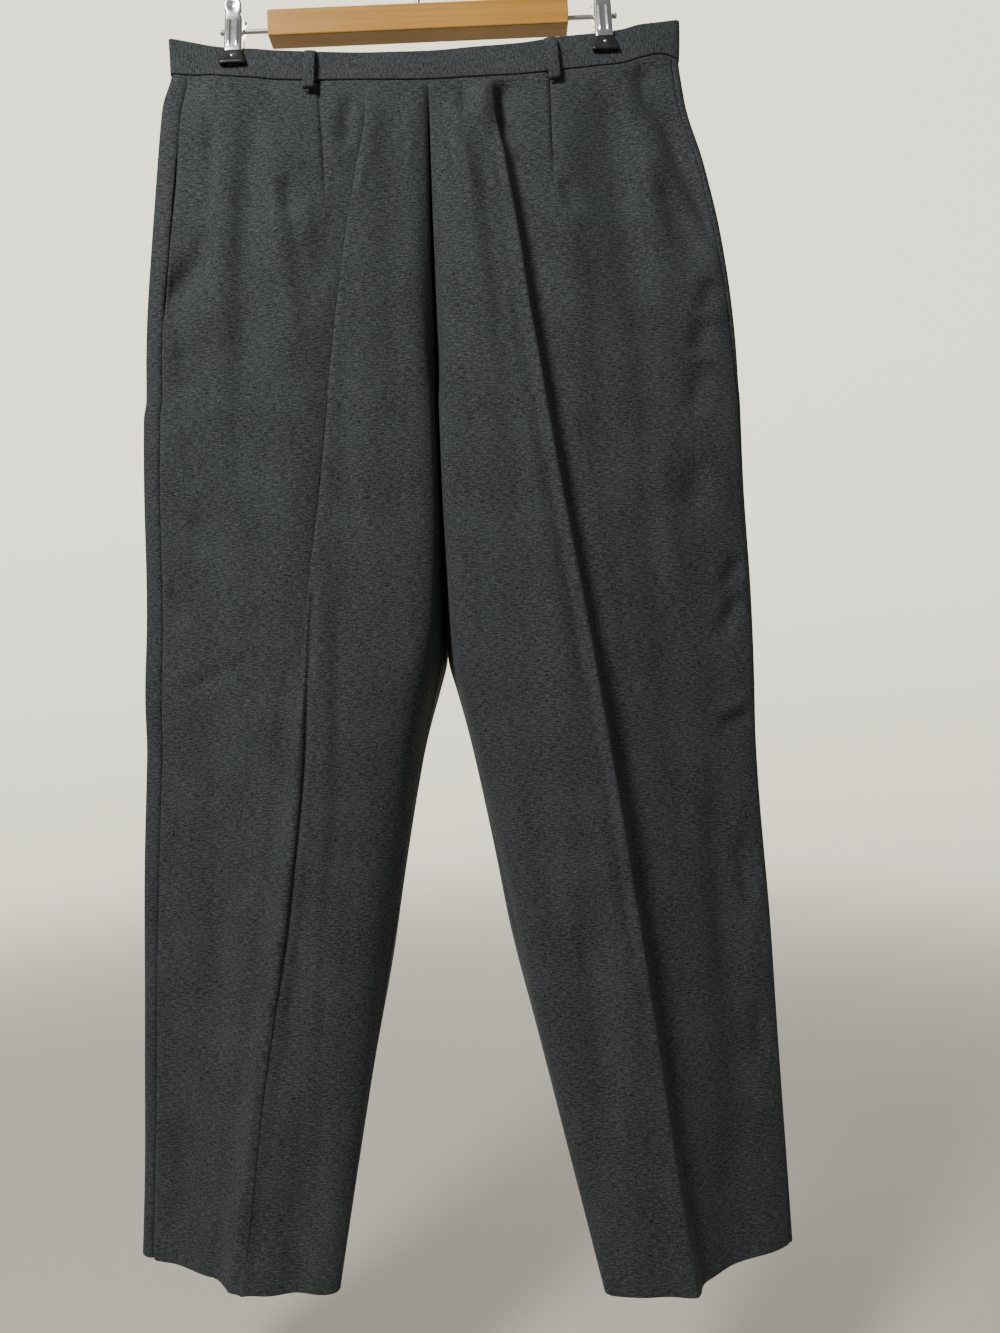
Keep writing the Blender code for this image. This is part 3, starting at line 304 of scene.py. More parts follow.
# the section at each drop: its corners from the centre back round the side to the centre
# front, how softly each one turns, the way to the next and its place along the cloth
def sectionFrame(side, drops):
    back = atDrops(backColumns, backTable[side], drops)
    front = atDrops(frontColumns, frontTable, drops)
    if side == right:
        forward = garment["rightLegForward"] * fadeIn(drops, 250, garment["hemDrop"])
        for name in ("midY", "pleatY", "innerY"):
            front[name] = front[name] - forward
    start, end = innerSeams(back, front, drops)
    cap, corner = back["cap"], back["corner"]
    turn = 0.6 * cap
    edge = back["side"] + np.hypot(cap, turn) - cap
    pleat = stacked(front["pleat"], front["pleatY"])
    innerFront = stacked(front["inner"], front["innerY"])
    along = unit(innerFront - pleat)
    tuck = front["tuck"]
    folded = np.clip(tuck / 10, 0, 1)[:, None]
    corners = [
        start,
        *(stacked(back[name], back[name + "Y"]) for name in ("inner", "crease", "flank", "mid")),
        stacked(edge, back["sideY"] - cap),
        stacked(edge, back["sideY"] + cap),
        stacked(front["mid"], front["midY"]),
        pleat,
        *(
            pleat + folded * stacked(share * tuck + out, y) + (1 - folded) * along * run
            for share, out, y, run in pleatCorners
        ),
        innerFront,
        end,
    ]
    sharp = 1.2
    # the two legs' inner corners lie close together from the crotch to where they part
    touching = fadeIn(drops, 262, 280) * fadeOut(drops, 470, 560)
    soft = stacked(  # one for each corner
        1, corner, sharp, 9, 24, turn, turn, 22, 1, 0.8, 0.8, 0.8, 2, 6,
        corner * (1 - touching) + sharp * touching, 1,
    )
    corners = np.stack(corners, axis=1)
    runs = np.diff(corners, axis=1)
    lengths = np.maximum(np.linalg.norm(runs, axis=2), 1e-6)
    places = np.cumsum(np.pad(lengths, ((0, 0), (1, 0))), axis=1)
    middle = (places[:, cornerAt["sideBack"]] + places[:, cornerAt["sideFront"]]) / 2
    return {
        "corners": corners, "soft": soft, "ways": runs / lengths[..., None], "places": places,
        "sideSeam": middle - back["wrap"], "back": back, "front": front,
    }


# a point at a distance along each section: the first straight line, turned at every corner
# by its change of direction times half of (d + root of (d squared + soft squared))
def alongSection(section, along):
    corners, soft, ways, places = (section[key] for key in ("corners", "soft", "ways", "places"))
    first, last, total = corners[:, :1], corners[:, -1:], places[:, -1:]

    def free(at):
        made = first + ways[:, :1] * at[..., None]
        for i in range(1, corners.shape[1] - 1):
            past = at - places[:, i:i + 1]
            bend = (past + np.sqrt(past**2 + soft[:, i:i + 1] ** 2)) / 2
            made = made + (ways[:, i] - ways[:, i - 1])[:, None] * bend[..., None]
        return made

    share = (along / total)[..., None]
    startOff, endOff = first - free(np.zeros_like(total)), last - free(total)
    return free(along) + startOff * (1 - share) + endOff * share


# shares of a stretch, closer together at its start, its end or both: a quarter of the even
# share and three quarters of a sine's
def gradedShares(count, fine):
    t = np.arange(1, count + 1) / count
    curves = {
        "even": t,
        "end": np.sin(math.pi / 2 * t),
        "start": 1 - np.cos(math.pi / 2 * t),
        "both": (1 - np.cos(math.pi * t)) / 2,
    }
    return 0.25 * t + 0.75 * curves[fine]


def spreadAlong(knots, plan):
    made = [knots[0][:, None]]
    for a, b, (count, fine) in zip(knots, knots[1:], plan):
        made.append(a[:, None] + (b - a)[:, None] * gradedShares(count, fine))
    return np.concatenate(made, axis=1)


# e to the minus (distance over half width) squared
def bell(off, halfWidth):
    return np.exp(-((off / halfWidth) ** 2))


# each fold is a line on the panel whose height falls away from it as a bell does, and fades
# at both ends
def foldsAt(rows, out, drop):
    total = np.zeros_like(out)
    for startOut, startDrop, endOut, endDrop, halfWidth, height in rows:
        run = np.array([endOut - startOut, endDrop - startDrop])
        length = np.linalg.norm(run)
        way = run / length
        past = (out - startOut) * way[0] + (drop - startDrop) * way[1]
        off = (out - startOut) * way[1] - (drop - startDrop) * way[0]
        begun = fadeIn(past, -0.15 * length, 0.25 * length)
        ends = begun * fadeOut(past, 0.7 * length, 1.15 * length)
        total += height * ends * bell(off, halfWidth)
    return total


def creaseMarksAt(rows, fromCrease, drop):
    total = np.zeros_like(fromCrease)
    for offset, top, foot, outer, inner, power, height in rows:
        ends = fadeIn(drop, top, top + 60) * fadeOut(drop, foot - 60, foot)
        off = fromCrease - offset
        away = np.abs(off / np.where(off > 0, outer, inner))
        total += height * ends * np.exp(-(away**power))
    return total


# how far out a dart runs, and how much of its length is past
def dartLine(side, drop):
    startOut, startDrop, endOut, endDrop = darts[side]
    share = (drop - startDrop) / (endDrop - startDrop)
    return startOut + (endOut - startOut) * share, share


# a dart is a stitched groove: e to the minus distance over half width
def dartAt(side, out, drop):
    line, share = dartLine(side, drop)
    deep = darts["depth"] * fadeOut(share, 0.72, 1.05)
    return -deep * np.exp(-np.abs(out - line) / darts["halfWidth"])


# depth and width of the grooves along the seams, which fall as a dart's does
grooves = {"side": (2.3, 1.9), "centre": (1.8, 1.7), "waist": (0.5, 1.6)}


def grooveAt(kind, distance):
    depth, width = grooves[kind]
    return depth * np.exp(-distance / width)


# slow waves that run down the panel, so that no stretch of cloth is quite flat
def rippleAt(out, drop, phase):
    waves = ((0.75, 1500, 62, 1.3), (0.45, -980, 37, 0.4), (0.2, 190, 90, 2.2))
    total = np.zeros_like(out)
    for height, tall, wide, start in waves:
        total += height * np.sin(2 * math.pi * (drop / tall + out / wide) + start + phase)
    return total


# brings the cloth between a clip's pads onto the clip's own leaning plane
def pinchAtClip(grid, drop, side, facing):
    tilt = clip["tilt"][side]
    beside = fadeOut(np.abs(grid[..., 0] - side * clip["out"]), 15, 34)
    held = beside * fadeOut(drop, -2, 62)
    rodZ = clip["rodZ"] + side * clip["out"] * math.sin(clip["barTilt"])
    plane = -(rodZ - grid[..., 2]) * math.tan(tilt)
    onto = plane + facing * (garment["band"] + clip["pinchGap"]) / 2 / math.cos(tilt)
    grid[..., 1] += (onto - grid[..., 1]) * held
    return held


# section points to x, y and z: near the waist a level follows the seam's own curve, and at
# the hem it slopes up towards the front
def toRowFrame(points, drop, side, lift):
    x = garment["centreX"] + side * points[..., 0]
    y = points[..., 1]
    above = np.clip(-drop / garment["bandHeight"], 0, 1)
    seam = waistHeight("seam", x)
    bandZ = seam + (waistHeight("top", x) - seam) * above
    body = garment["seamZ"] - drop + (seam - garment["seamZ"]) * fadeOut(drop, 0, 150)
    sloped = garment["hemSlope"] * fadeIn(drop, 780, garment["hemDrop"])
    slope = sloped * (y - garment["hemMiddle"][side])
    return stacked(x, y, np.where(drop <= 0, bandZ, body + slope) - lift)


# the unit normals of a grid, from the cross product of its two directions, turned outward
# by what they are some way along the middle row
def gridNormals(grid, outward, at=0.5):
    normal = unit(np.cross(np.gradient(grid, axis=1), np.gradient(grid, axis=0)))
    turned = np.dot(normal[len(grid) // 2, int(at * (grid.shape[1] - 1))], outward) < 0
    return (-normal if turned else normal), turned


backPlan = (
    (16, "both"), (26, "end"), (10, "start"), (6, "even"), (11, "even"), (16, "even"), (32, "end"),
)
frontPlan = (
    (32, "start"), (26, "end"), (4, "even"), (8, "both"), (4, "even"), (8, "both"), (4, "even"),
    (28, "even"), (14, "end"),
)


# the back from the centre seam or inseam to the side seam, with u measured from the crease
def backSurface(side, drops, lift, fine=True):
    section = sectionFrame(side, drops)
    places = section["places"]
    edge = section["sideSeam"] - garment["sideGap"] / 2
    flank, mid = (places[:, cornerAt[name]] for name in ("flank", "mid"))
    beside = 4.0
    held = np.minimum(drops, darts[side][3] + 20)
    level = atDrops(backColumns, backTable[side], held)
    share = (dartLine(side, held)[0] - level["flank"]) / (level["mid"] - level["flank"])
    dart = flank + np.maximum(share * (mid - flank) - beside, 2)
    knots = [*places[:, :cornerAt["mid"]].T, dart, dart + 2 * beside, mid, edge]
    along = spreadAlong(knots, backPlan)
    points = alongSection(section, along)
    drop = np.broadcast_to(drops[:, None], along.shape)
    out = points[..., 0].copy()
    points[..., 1] -= foldsAt(largeFolds[side], out, drop) * fadeIn(drop, 0, 20)
    grid = toRowFrame(points, drop, side, lift)
    pinched = pinchAtClip(grid, drop, side, -1)
    if fine:
        edge = edge[:, None]
        fromCrease = out - section["back"]["crease"][:, None]
        fromSeam = np.minimum(along, edge - along)
        calm = fadeIn(drop, 0, 18) * fadeIn(fromSeam, 0, 6) * (1 - 0.6 * pinched)
        ripple = rippleAt(out, drop, 0.0 if side == left else 1.9)
        relief = foldsAt(smallFolds[side], out, drop) * calm
        relief += ripple * calm * np.clip(np.abs(fromCrease) / 14, 0, 1)
        marks = creaseMarksAt(creaseMarks[side], fromCrease, drop)
        relief += marks * fadeIn(along, 0, 16) * fadeIn(drop, 0, 12)
        relief += dartAt(side, out, drop)
        relief -= grooveAt("side", edge - along) * fadeIn(drop, 0, 8)
        relief -= grooveAt("centre", along) * fadeIn(drop, 0, 8) * fadeOut(drop, 220, 268)
        relief -= grooveAt("waist", drop)
        grid = grid + relief[..., None] * gridNormals(grid, (0, -1, 0))[0]
    return grid, along - places[:, [cornerAt["crease"]]]


def flyLift(drop):
    return fadeOut(drop, garment["flyLength"] + 8, garment["flyLength"] + 34)


# the front from the side seam round the pleat to the centre seam or inseam
def frontSurface(side, drops, lift, fly, fine=True, plan=frontPlan):
    section = sectionFrame(side, drops)
    places = section["places"]
    edge = section["sideSeam"] + garment["sideGap"] / 2
    along = spreadAlong([edge, *places[:, cornerAt["frontMid"]:].T], plan)
    points = alongSection(section, along)
    drop = np.broadcast_to(drops[:, None], along.shape)
    out = points[..., 0].copy()
    height = foldsAt(largeFolds["front"], out, drop) * fadeIn(drop, 0, 20)
    points[..., 1] += height * np.where(out > 100, fadeIn(out, 138, 160), fadeOut(out, 62, 84))
    if fly:
        reach = fadeOut(out, 0, 24) * fadeOut(drop, garment["flyLength"] - 14, garment["flyLength"])
        if side == left:
            points[..., 1] += fadeOut(out, 12, 40) * flyLift(drop) * garment["flyLift"]
            points[..., 0] -= reach * (garment["flyFlap"] + garment["seamGap"] / 2)
        else:
            points[..., 0] += reach * (garment["flyEdge"] - garment["seamGap"] / 2)
    grid = toRowFrame(points, drop, side, lift)
    pinched = pinchAtClip(grid, drop, side, 1)
    if fine:
        fromEdge = along - edge[:, None]
        fromCrease = out - section["front"]["pleat"][:, None]
        fromSeam = np.minimum(fromEdge, places[:, [cornerAt["end"]]] - along)
        keepOff = np.where(drop < 230, 24, 2)  # wider where the pleat is still folded
        calm = fadeIn(drop, 0, 26) * fadeIn(fromSeam, 0, 16) * (1 - pinched)
        calm = calm * np.clip((np.abs(fromCrease) - keepOff) / 20, 0, 1)
        calm = calm * (1 - fadeOut(out, 30, 48) * flyLift(drop))
        relief = foldsAt(smallFolds["front"], out, drop) * calm
        relief += rippleAt(out, drop, 3.1 if side == left else 4.4) * calm
        marks = creaseMarksAt(creaseMarks["front"], fromCrease, drop)
        relief += marks * fadeIn(fromSeam, 0, 16)
        relief -= grooveAt("side", fromEdge) * fadeIn(drop, 0, 8)
        relief -= grooveAt("waist", drop)
        grid = grid + relief[..., None] * gridNormals(grid, (0, 1, 0))[0]
    return grid, along - places[:, [cornerAt["pleat"]]]


# one socket of a material's nodes, with Python's arithmetic
class Wire:
    def __init__(self, tree, socket):
        self.tree = tree
        self.socket = socket

    def into(self, socket):
        self.tree.links.new(self.socket, socket)

    def node(self, kind, settings, inputs, output=0):
        made = self.tree.nodes.new(kind)
        for name, value in settings.items():
            setattr(made, name, value)
        for name, value in inputs.items():
            if isinstance(value, Wire):
                value.into(made.inputs[name])
            else:
                made.inputs[name].default_value = value
        return Wire(self.tree, made.outputs[output])

    def maths(self, operation, *values):
        return self.node("ShaderNodeMath", {"operation": operation}, dict(enumerate(values)))

    def __add__(self, other):
        return self.maths("ADD", self, other)

    def __sub__(self, other):
        return self.maths("SUBTRACT", self, other)

    def __rsub__(self, other):
        return self.maths("SUBTRACT", other, self)

    def __mul__(self, other):
        return self.maths("MULTIPLY", self, other)

    __radd__ = __add__
    __rmul__ = __mul__

    def sine(self):
        return self.maths("SINE", self)

    def between(self, low, high):
        inputs = {"Value": self, "From Min": low, "From Max": high}
        return self.node("ShaderNodeMapRange", {"interpolation_type": "SMOOTHSTEP"}, inputs)

    def stretched(self, *times):
        return self.node("ShaderNodeVectorMath", {"operation": "MULTIPLY"}, {0: self, 1: times})

    def noise(self, scale, detail, rough):
        inputs = {"Vector": self, "Scale": scale, "Detail": detail, "Roughness": rough}
        return self.node("ShaderNodeTexNoise", {}, inputs)

    def blend(self, low, high):
        low, high = (tone if isinstance(tone, Wire) else (*tone, 1.0) for tone in (low, high))
        return self.node("ShaderNodeMix", {"data_type": "RGBA"}, {0: self, 6: low, 7: high}, 2)

    def bump(self, strength, distance):
        inputs = {"Strength": strength, "Distance": distance, "Height": self}
        return self.node("ShaderNodeBump", {}, inputs)

    def axes(self):
        first = self.node("ShaderNodeSeparateXYZ", {}, {0: self})
        return [Wire(self.tree, output) for output in first.socket.node.outputs]


# a material: constants on the shader's own sockets, and a look that gives what changes over
# the surface, from the object's coordinates or from the map of its cloth
def material(name, constants, look, *choices, onCloth=False):
    made = bpy.data.materials.new(name)
    made.use_nodes = True
    tree = made.node_tree
    shader = tree.nodes["Principled BSDF"]
    for socket, value in constants.items():
        shader.inputs[socket].default_value = value
    start = tree.nodes.new("ShaderNodeUVMap" if onCloth else "ShaderNodeTexCoord")
    if onCloth:
        start.uv_map = "cloth"
    spot = Wire(tree, start.outputs["UV" if onCloth else "Object"])
    for socket, wire in look(spot, *choices).items():
        wire.into(shader.inputs[socket])
    return made


wool = {
    "dark": (0.006, 0.0070, 0.0078),
    "light": (0.0905, 0.1005, 0.1065),
    "streak": (165.0, 1050.0, 1.0),  # how many to the metre, across and down
    "fleck": (460.0, 1100.0, 1.0),
    "warp": (1900.0, 260.0, 1.0),
    "yarn": 0.00055,
    "bump": 0.00022,
    "shine": {
        "Roughness": 0.88, "Specular IOR Level": 0.2, "Sheen Weight": 0.05,
        "Sheen Roughness": 0.5, "Sheen Tint": (0.75, 0.85, 0.9, 1.0),
    },
}


# heathered suiting: long flecks of light and dark fibre along the weft over a fine twill,
# turned by a right angle where the cloth was cut across
def woolLook(uv, turn):
    if turn:
        uv = uv.node("ShaderNodeMapping", {}, {"Vector": uv, "Rotation": (0, 0, turn)})
    streak = uv.stretched(*wool["streak"]).noise(1, 3, 0.64).between(0.37, 0.65)
    fleck = uv.stretched(*wool["fleck"]).noise(1, 2, 0.65).between(0.40, 0.67)
    warp = uv.stretched(*wool["warp"]).noise(1, 1, 0.5).between(0.38, 0.72)
    cloud = uv.noise(22, 3, 0.55)
    tone = streak * 0.36 + fleck * 0.38 + warp * 0.18 + (cloud - 0.5) * 0.30
    u, v = uv.axes()[:2]
    wave = 2 * math.pi / wool["yarn"]
    ribs = ((u + v) * (wave / 2)).sine() * 0.5
    twill = ribs + (v * wave).sine() * 0.3 + (u * wave).sine() * 0.3
    height = twill * 0.30 + fleck * 0.6 + streak * 0.35
    return {
        "Base Color": tone.blend(wool["dark"], wool["light"]),
        "Normal": height.bump(0.55, wool["bump"]),
        "Roughness": 0.93 - streak * 0.12,
    }


def tapeLook(uv):
    ribs = uv.stretched(900, 2600, 1).noise(1, 1, 0.5)
    return {
        "Base Color": ribs.blend((0.022, 0.025, 0.027), (0.060, 0.068, 0.072)),
        "Roughness": 0.75 + ribs * 0.2,
        "Normal": ribs.bump(0.5, 0.0002),
    }


def metalLook(spot, colour, roughness, wear):
    smudge = spot.noise(180, 4, 0.6)
    scratch = spot.stretched(260, 260, 2600).noise(1, 2, 0.6).between(0.55, 0.75)
    dull = tuple(0.72 * part for part in colour)
    return {
        "Base Color": (smudge.between(0.45, 0.75) * wear).blend(colour, dull),
        "Roughness": roughness + smudge * wear * 0.25 + scratch * wear * 0.12,
        "Normal": scratch.bump(0.12, 0.0001),
    }


def rubberLook(spot):
    grain = spot.noise(900, 3, 0.6)
    dust = spot.noise(120, 3, 0.6).between(0.5, 0.75)
    return {
        "Base Color": (dust * 0.6).blend((0.011, 0.012, 0.012), (0.034, 0.036, 0.036)),
        "Roughness": 0.30 + grain * 0.18 + dust * 0.12,
        "Normal": grain.bump(0.15, 0.00015),
    }


# lacquered light wood with its grain along the bar
def woodLook(spot):
    sway = spot.stretched(9, 9, 9).noise(1, 2, 0.5)
    bands = spot.stretched(5, 120, 420).noise(1, 3, 0.6)
    pores = spot.stretched(60, 1500, 2600).noise(1, 1, 0.5).between(0.58, 0.74)
    tone = bands.between(0.30, 0.72) * 0.6 + sway.between(0.3, 0.7) * 0.25 + pores * 0.35
    return {
        "Base Color": tone.blend((0.530, 0.275, 0.052), (0.400, 0.185, 0.030)),
        "Roughness": 0.38 + pores * 0.25,
        "Normal": (1.0 - pores).bump(0.2, 0.0002),
    }


def threadLook(spot):
    ply = spot.stretched(2600, 2600, 2600).noise(1, 1, 0.5)
    return {"Base Color": ply.blend((0.030, 0.035, 0.037), (0.085, 0.098, 0.102))}


metal = {"Metallic": 1.0}
lacquer = {"Coat Weight": 0.15, "Coat Roughness": 0.3, "Specular IOR Level": 0.3}
quarterTurn = math.pi / 2
finishes = {
    "thread": material("sewingThread", {"Roughness": 0.6, "Specular IOR Level": 0.4}, threadLook),
    "wool": material("heatherWool", wool["shine"], woolLook, 0, onCloth=True),
    "woolTurned": material(
        "heatherWoolAcross", wool["shine"], woolLook, quarterTurn, onCloth=True,
    ),
    "tape": material(
        "zipTape", {"Sheen Weight": 0.1, "Specular IOR Level": 0.3}, tapeLook, onCloth=True,
    ),
    "chrome": material("brightChrome", metal, metalLook, (0.80, 0.79, 0.77), 0.20, 0.5),
    "steel": material("platedSteel", metal, metalLook, (0.50, 0.50, 0.48), 0.28, 1.0),
    "rubber": material("padRubber", {"Specular IOR Level": 0.4}, rubberLook),
    "wood": material("lacqueredWood", lacquer, woodLook),
}
print("finishes made:", len(finishes))


def objectOf(name, data):
    made = bpy.data.objects.new(name, data)
    bpy.context.scene.collection.objects.link(made)
    return made


def meshPiece(name, mesh, finish):
    points, faces, uv = mesh
    data = bpy.data.meshes.new(name)
    data.from_pydata((points * mm).tolist(), [], faces.tolist())
    layer = data.uv_layers.new(name="cloth")
    layer.data.foreach_set("uv", (uv * mm)[faces.reshape(-1)].astype(np.float32).ravel())
    data.polygons.foreach_set("use_smooth", np.ones(len(faces), bool))
    data.materials.append(finishes[finish])
    data.update()
    return objectOf(name, data)


def addPiece(name, mesh, finish, nodes=()):
    piece = meshPiece(name, mesh, finish)
    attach(piece, "root")
    if nodes:
        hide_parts(*nodes)


# the four-sided faces between the points of two lines
def quadsBetween(a, b):
    return np.stack([a[:-1], a[1:], b[1:], b[:-1]], axis=-1).reshape(-1, 4)


# the numbers of a grid's points, and its faces; a closed grid's last column joins its first
def gridFaces(rows, cols, closed=False):
    index = np.arange(rows * cols).reshape(rows, cols)
    if closed:
        index = np.concatenate([index, index[:, :1]], axis=1)
    return index, quadsBetween(index[:-1].T, index[1:].T)


def circleOf(count):
    return np.linspace(0, 2 * math.pi, count, endpoint=False)


# a closed wall round a middle surface: outside and inside are the surface moved along its
# normals, and a half circle joins them round the border
def shellMesh(grid, uv, thickness, outward, at=0.5, inner=0.0):
    rows, cols = grid.shape[:2]
    normal, turned = gridNormals(grid, outward, at)
    half, bulge = thickness / 2, 0.35
    outside = (grid + normal * half).reshape(-1, 3)
    inside = (grid - normal * np.expand_dims(half + inner, -1)).reshape(-1, 3)
    off = np.zeros_like(grid)
    off[0] += grid[0] - grid[1]
    off[-1] += grid[-1] - grid[-2]
    off[:, 0] += grid[:, 0] - grid[:, 1]
    off[:, -1] += grid[:, -1] - grid[:, -2]
    index, outer = gridFaces(rows, cols)
    border = np.concatenate([index[0, :-1], index[:-1, -1], index[-1, :0:-1], index[:0:-1, 0]])
    away = unit(off.reshape(-1, 3)[border])
    rings = []
    for turn in np.radians((35, 90, 145)):
        share = (1 + math.cos(turn)) / 2
        middle = outside[border] * share + inside[border] * (1 - share)
        rings.append(middle + away * half * bulge * math.sin(turn))
    count = rows * cols
    faces = [outer, (outer + count)[:, ::-1]]
    between = (2 * count + i * len(border) + np.arange(len(border)) for i in range(3))
    loops = [np.append(some, some[0]) for some in (border, *between, border + count)]
    faces += [quadsBetween(a, b)[:, ::-1] for a, b in zip(loops, loops[1:])]
    faces = np.concatenate(faces)
    flat = uv.reshape(-1, 2)
    return (
        np.concatenate([outside, inside, *rings]), faces[:, ::-1] if turned else faces,
        np.concatenate([flat, flat, *[flat[border]] * 3]),
    )


# rings of points as one closed skin, with a pole at the middle of each end, turned so that its
# volume (a sixth of the sum of each corner's triple products) is positive
def loftMesh(grid):
    rows, sides = grid.shape[:2]
    index, wall = gridFaces(rows, sides, closed=True)
    faces = [wall]
    for loop, pole, flip in ((index[0], rows * sides, 1), (index[-1], rows * sides + 1, -1)):
        fan = np.stack([loop[:-1:2], loop[1::2], loop[2::2], np.full(sides // 2, pole)], axis=-1)
        faces.append(fan[:, ::flip])
    faces = np.concatenate(faces)
    points = np.concatenate([grid.reshape(-1, 3), [grid[0].mean(axis=0), grid[-1].mean(axis=0)]])
    a, b, c, d = (points[faces[:, i]] for i in range(4))
    volume = (a * np.cross(b, c)).sum() + (a * np.cross(c, d)).sum()
    return points, faces if volume > 0 else faces[:, ::-1], points[:, [0, 2]]


# a round wire: a circle carried along a path without twisting, its ends domed
def tubeMesh(path, radius, sides):
    way = unit(np.gradient(path, axis=0))
    across = [unit(np.cross(way[0], (0.31, 0.83, 0.47)))]
    for step in way[1:]:
        across.append(unit(across[-1] - step * np.dot(across[-1], step)))
    across = np.array(across)
    upward = np.cross(way, across)
    size = np.broadcast_to(radius, len(path))
    domes, bulge = np.radians((80, 55, 30)), 0.6
    head = [path[0] - way[0] * size[0] * bulge * math.sin(a) for a in domes]
    tail = [path[-1] + way[-1] * size[-1] * bulge * math.sin(a) for a in domes[::-1]]
    centres = np.concatenate([head, path, tail])
    sizes = np.concatenate([size[0] * np.cos(domes), size, size[-1] * np.cos(domes[::-1])])
    across, upward = (
        np.concatenate([rows[[0] * 3], rows, rows[[-1] * 3]])[:, None] for rows in (across, upward)
    )
    ring = circleOf(sides)[None, :, None]
    circle = across * np.cos(ring) + upward * np.sin(ring)
    return loftMesh(centres[:, None] + circle * sizes[:, None, None])


def clothMap(across, drops):
    return stacked(across, -drops[:, None])


panel = {
    "rows": ((0, 24, 16), (24, 290, 82), (290, 960, 150), (960, 988, 14)),
    "hem": 40.0,
    "allowance": 12.0,
    "turnedUp": 0.9,
    "pressedOpen": 0.7,
    "flat": {"back": (0.30, 0.988), "front": (0.33, 0.988)},
    "area": {"back": 0.240, "front": 0.270},
}


# inside, the cloth is double where the hem is turned up and where the seams are pressed open
def turnedIn(across, drops):
    drop = drops[:, None]
    top = garment["hemDrop"] - panel["hem"]
    toSeam = np.minimum(across - across[:, :1], across[:, -1:] - across)
    strip = fadeOut(toSeam, panel["allowance"] - 0.8, panel["allowance"] + 0.8)
    doubled = np.maximum(
        panel["turnedUp"] * fadeIn(drop, top - 1, top + 1), panel["pressedOpen"] * strip,
    )
    return doubled * fadeIn(drop, 60, 90)


def buildPanels():
    runs = [np.linspace(a, b, count + 1)[1:] for a, b, count in panel["rows"]]
    drops = np.concatenate([[0], *runs])
    lift = (0.7 * np.clip(1 - drops / 9, 0, 1))[:, None]
    for side, name in sideNames.items():
        surfaces = {
            "back": (backSurface(side, drops, lift), -1),
            "front": (frontSurface(side, drops, lift, True), 1),
        }
        for part, ((grid, across), facing) in surfaces.items():
            mesh = shellMesh(
                grid, clothMap(across, drops), garment["cloth"], (0, facing, 0),
                inner=turnedIn(across, drops),
            )
            addPiece(
                f"{part}Panel_{name}", mesh, "wool", [f"{part}_panel_{name}"],
            )


buildPanels()
print("panels built")


band = {
    "rows": 20,
    "lapLift": 2.7,
    "flat": (0.47, 0.032),
    "plan": ((32, "start"), (26, "end"), *[(1, "even")] * 5, (24, "even"), (10, "even")),
    "pleat": (58, 63),  # the front's columns on both sides of the pleat, which the band bridges
    "bridge": 9,
    "tongue": 16,
    "lapEnds": {left: (26, 62), right: (6, 50)},
    "swell": 0.25,
    "swellWaves": ((0.22, 17, 1), (0.12, 5.3, 0)),  # height, length over two pi, start by side
}


# the three levels of each half, from the centre back round the side to the fly, where the
# left end lies over a tongue of the right one
def bandLevels():
    levels = garment["bandHeight"] * np.array([-1, -0.55, 0])
    lift = np.where(levels == 0, -0.2, 0)[:, None]
    before, after = band["pleat"]
    halves = {}
    for side in (left, right):
        back = backSurface(side, levels, lift, False)[0]
        front = frontSurface(side, levels, lift, False, False, band["plan"])[0]
        start, end = front[:, [before]], front[:, [after]]
        bridge = start + (end - start) * np.linspace(0, 1, band["bridge"])[None, 1:-1, None]
        joint = (back[:, -1:] + front[:, :1]) / 2
        half = np.concatenate(
            [back[:, :-1], joint, front[:, 1:before + 1], bridge, front[:, after:]], axis=1,
        )
        facing = np.arange(half.shape[1]) > half.shape[1] / 2
        lapped = fadeOut(np.abs(half[..., 0] - garment["centreX"]), *band["lapEnds"][side])
        half[..., 1] -= side * lapped * facing * band["lapLift"]
        halves[side] = half
    tongueX = garment["centreX"] - np.linspace(1, garment["underlap"], band["tongue"])
    tongue = []
    for over in halves[left][:, -20:]:
        y, z = (np.interp(tongueX, over[:, 0], over[:, i]) for i in (1, 2))
        tongue.append(stacked(tongueX, y - 2 * band["lapLift"], z))
    halves[right] = np.concatenate([halves[right][:, :-1], np.array(tongue)], axis=1)
    reach = np.linspace(0, garment["flyFlap"], 7)[1:, None] * np.array([1, 0, 0])
    halves[left] = np.concatenate([halves[left], halves[left][:, -1:] + reach[None]], axis=1)
    return levels, halves


# between its three levels a parabola gives the rows; the band swells a little between its
# edges, unevenly along it, except between the clips' pads
def buildBands():
    levels, halves = bandLevels()
    t = np.linspace(0, 1, band["rows"])
    knots = (levels - levels[0]) / (levels[-1] - levels[0])
    weights = [
        np.prod([(t - knots[j]) / (knots[i] - knots[j]) for j in range(3) if j != i], axis=0)
        for i in range(3)
    ]
    for side, name in sideNames.items():
        grid = sum(w[:, None, None] * level[None] for w, level in zip(weights, halves[side]))
        steps = np.linalg.norm(np.diff(grid, axis=1), axis=2).mean(axis=0)
        arc = np.append(0, np.cumsum(steps))
        free = fadeIn(np.abs(grid[..., 0] - side * clip["out"]), 10, 24)
        waves = (h * np.sin(arc / long + start * side) for h, long, start in band["swellWaves"])
        swell = sum(waves, band["swell"]) * np.sin(math.pi * t)[:, None] * free
        grid = grid + swell[..., None] * gridNormals(grid, (0, -1, 0), 0.1)[0]
        uv = stacked(arc, (levels[0] * (1 - t))[:, None])
        addPiece(
            f"waistBand_{name}", shellMesh(grid, uv, garment["band"], (0, -1, 0), at=0.1),
            "woolTurned", [f"waistband_{name}"],
        )


buildBands()
print("waistband built")


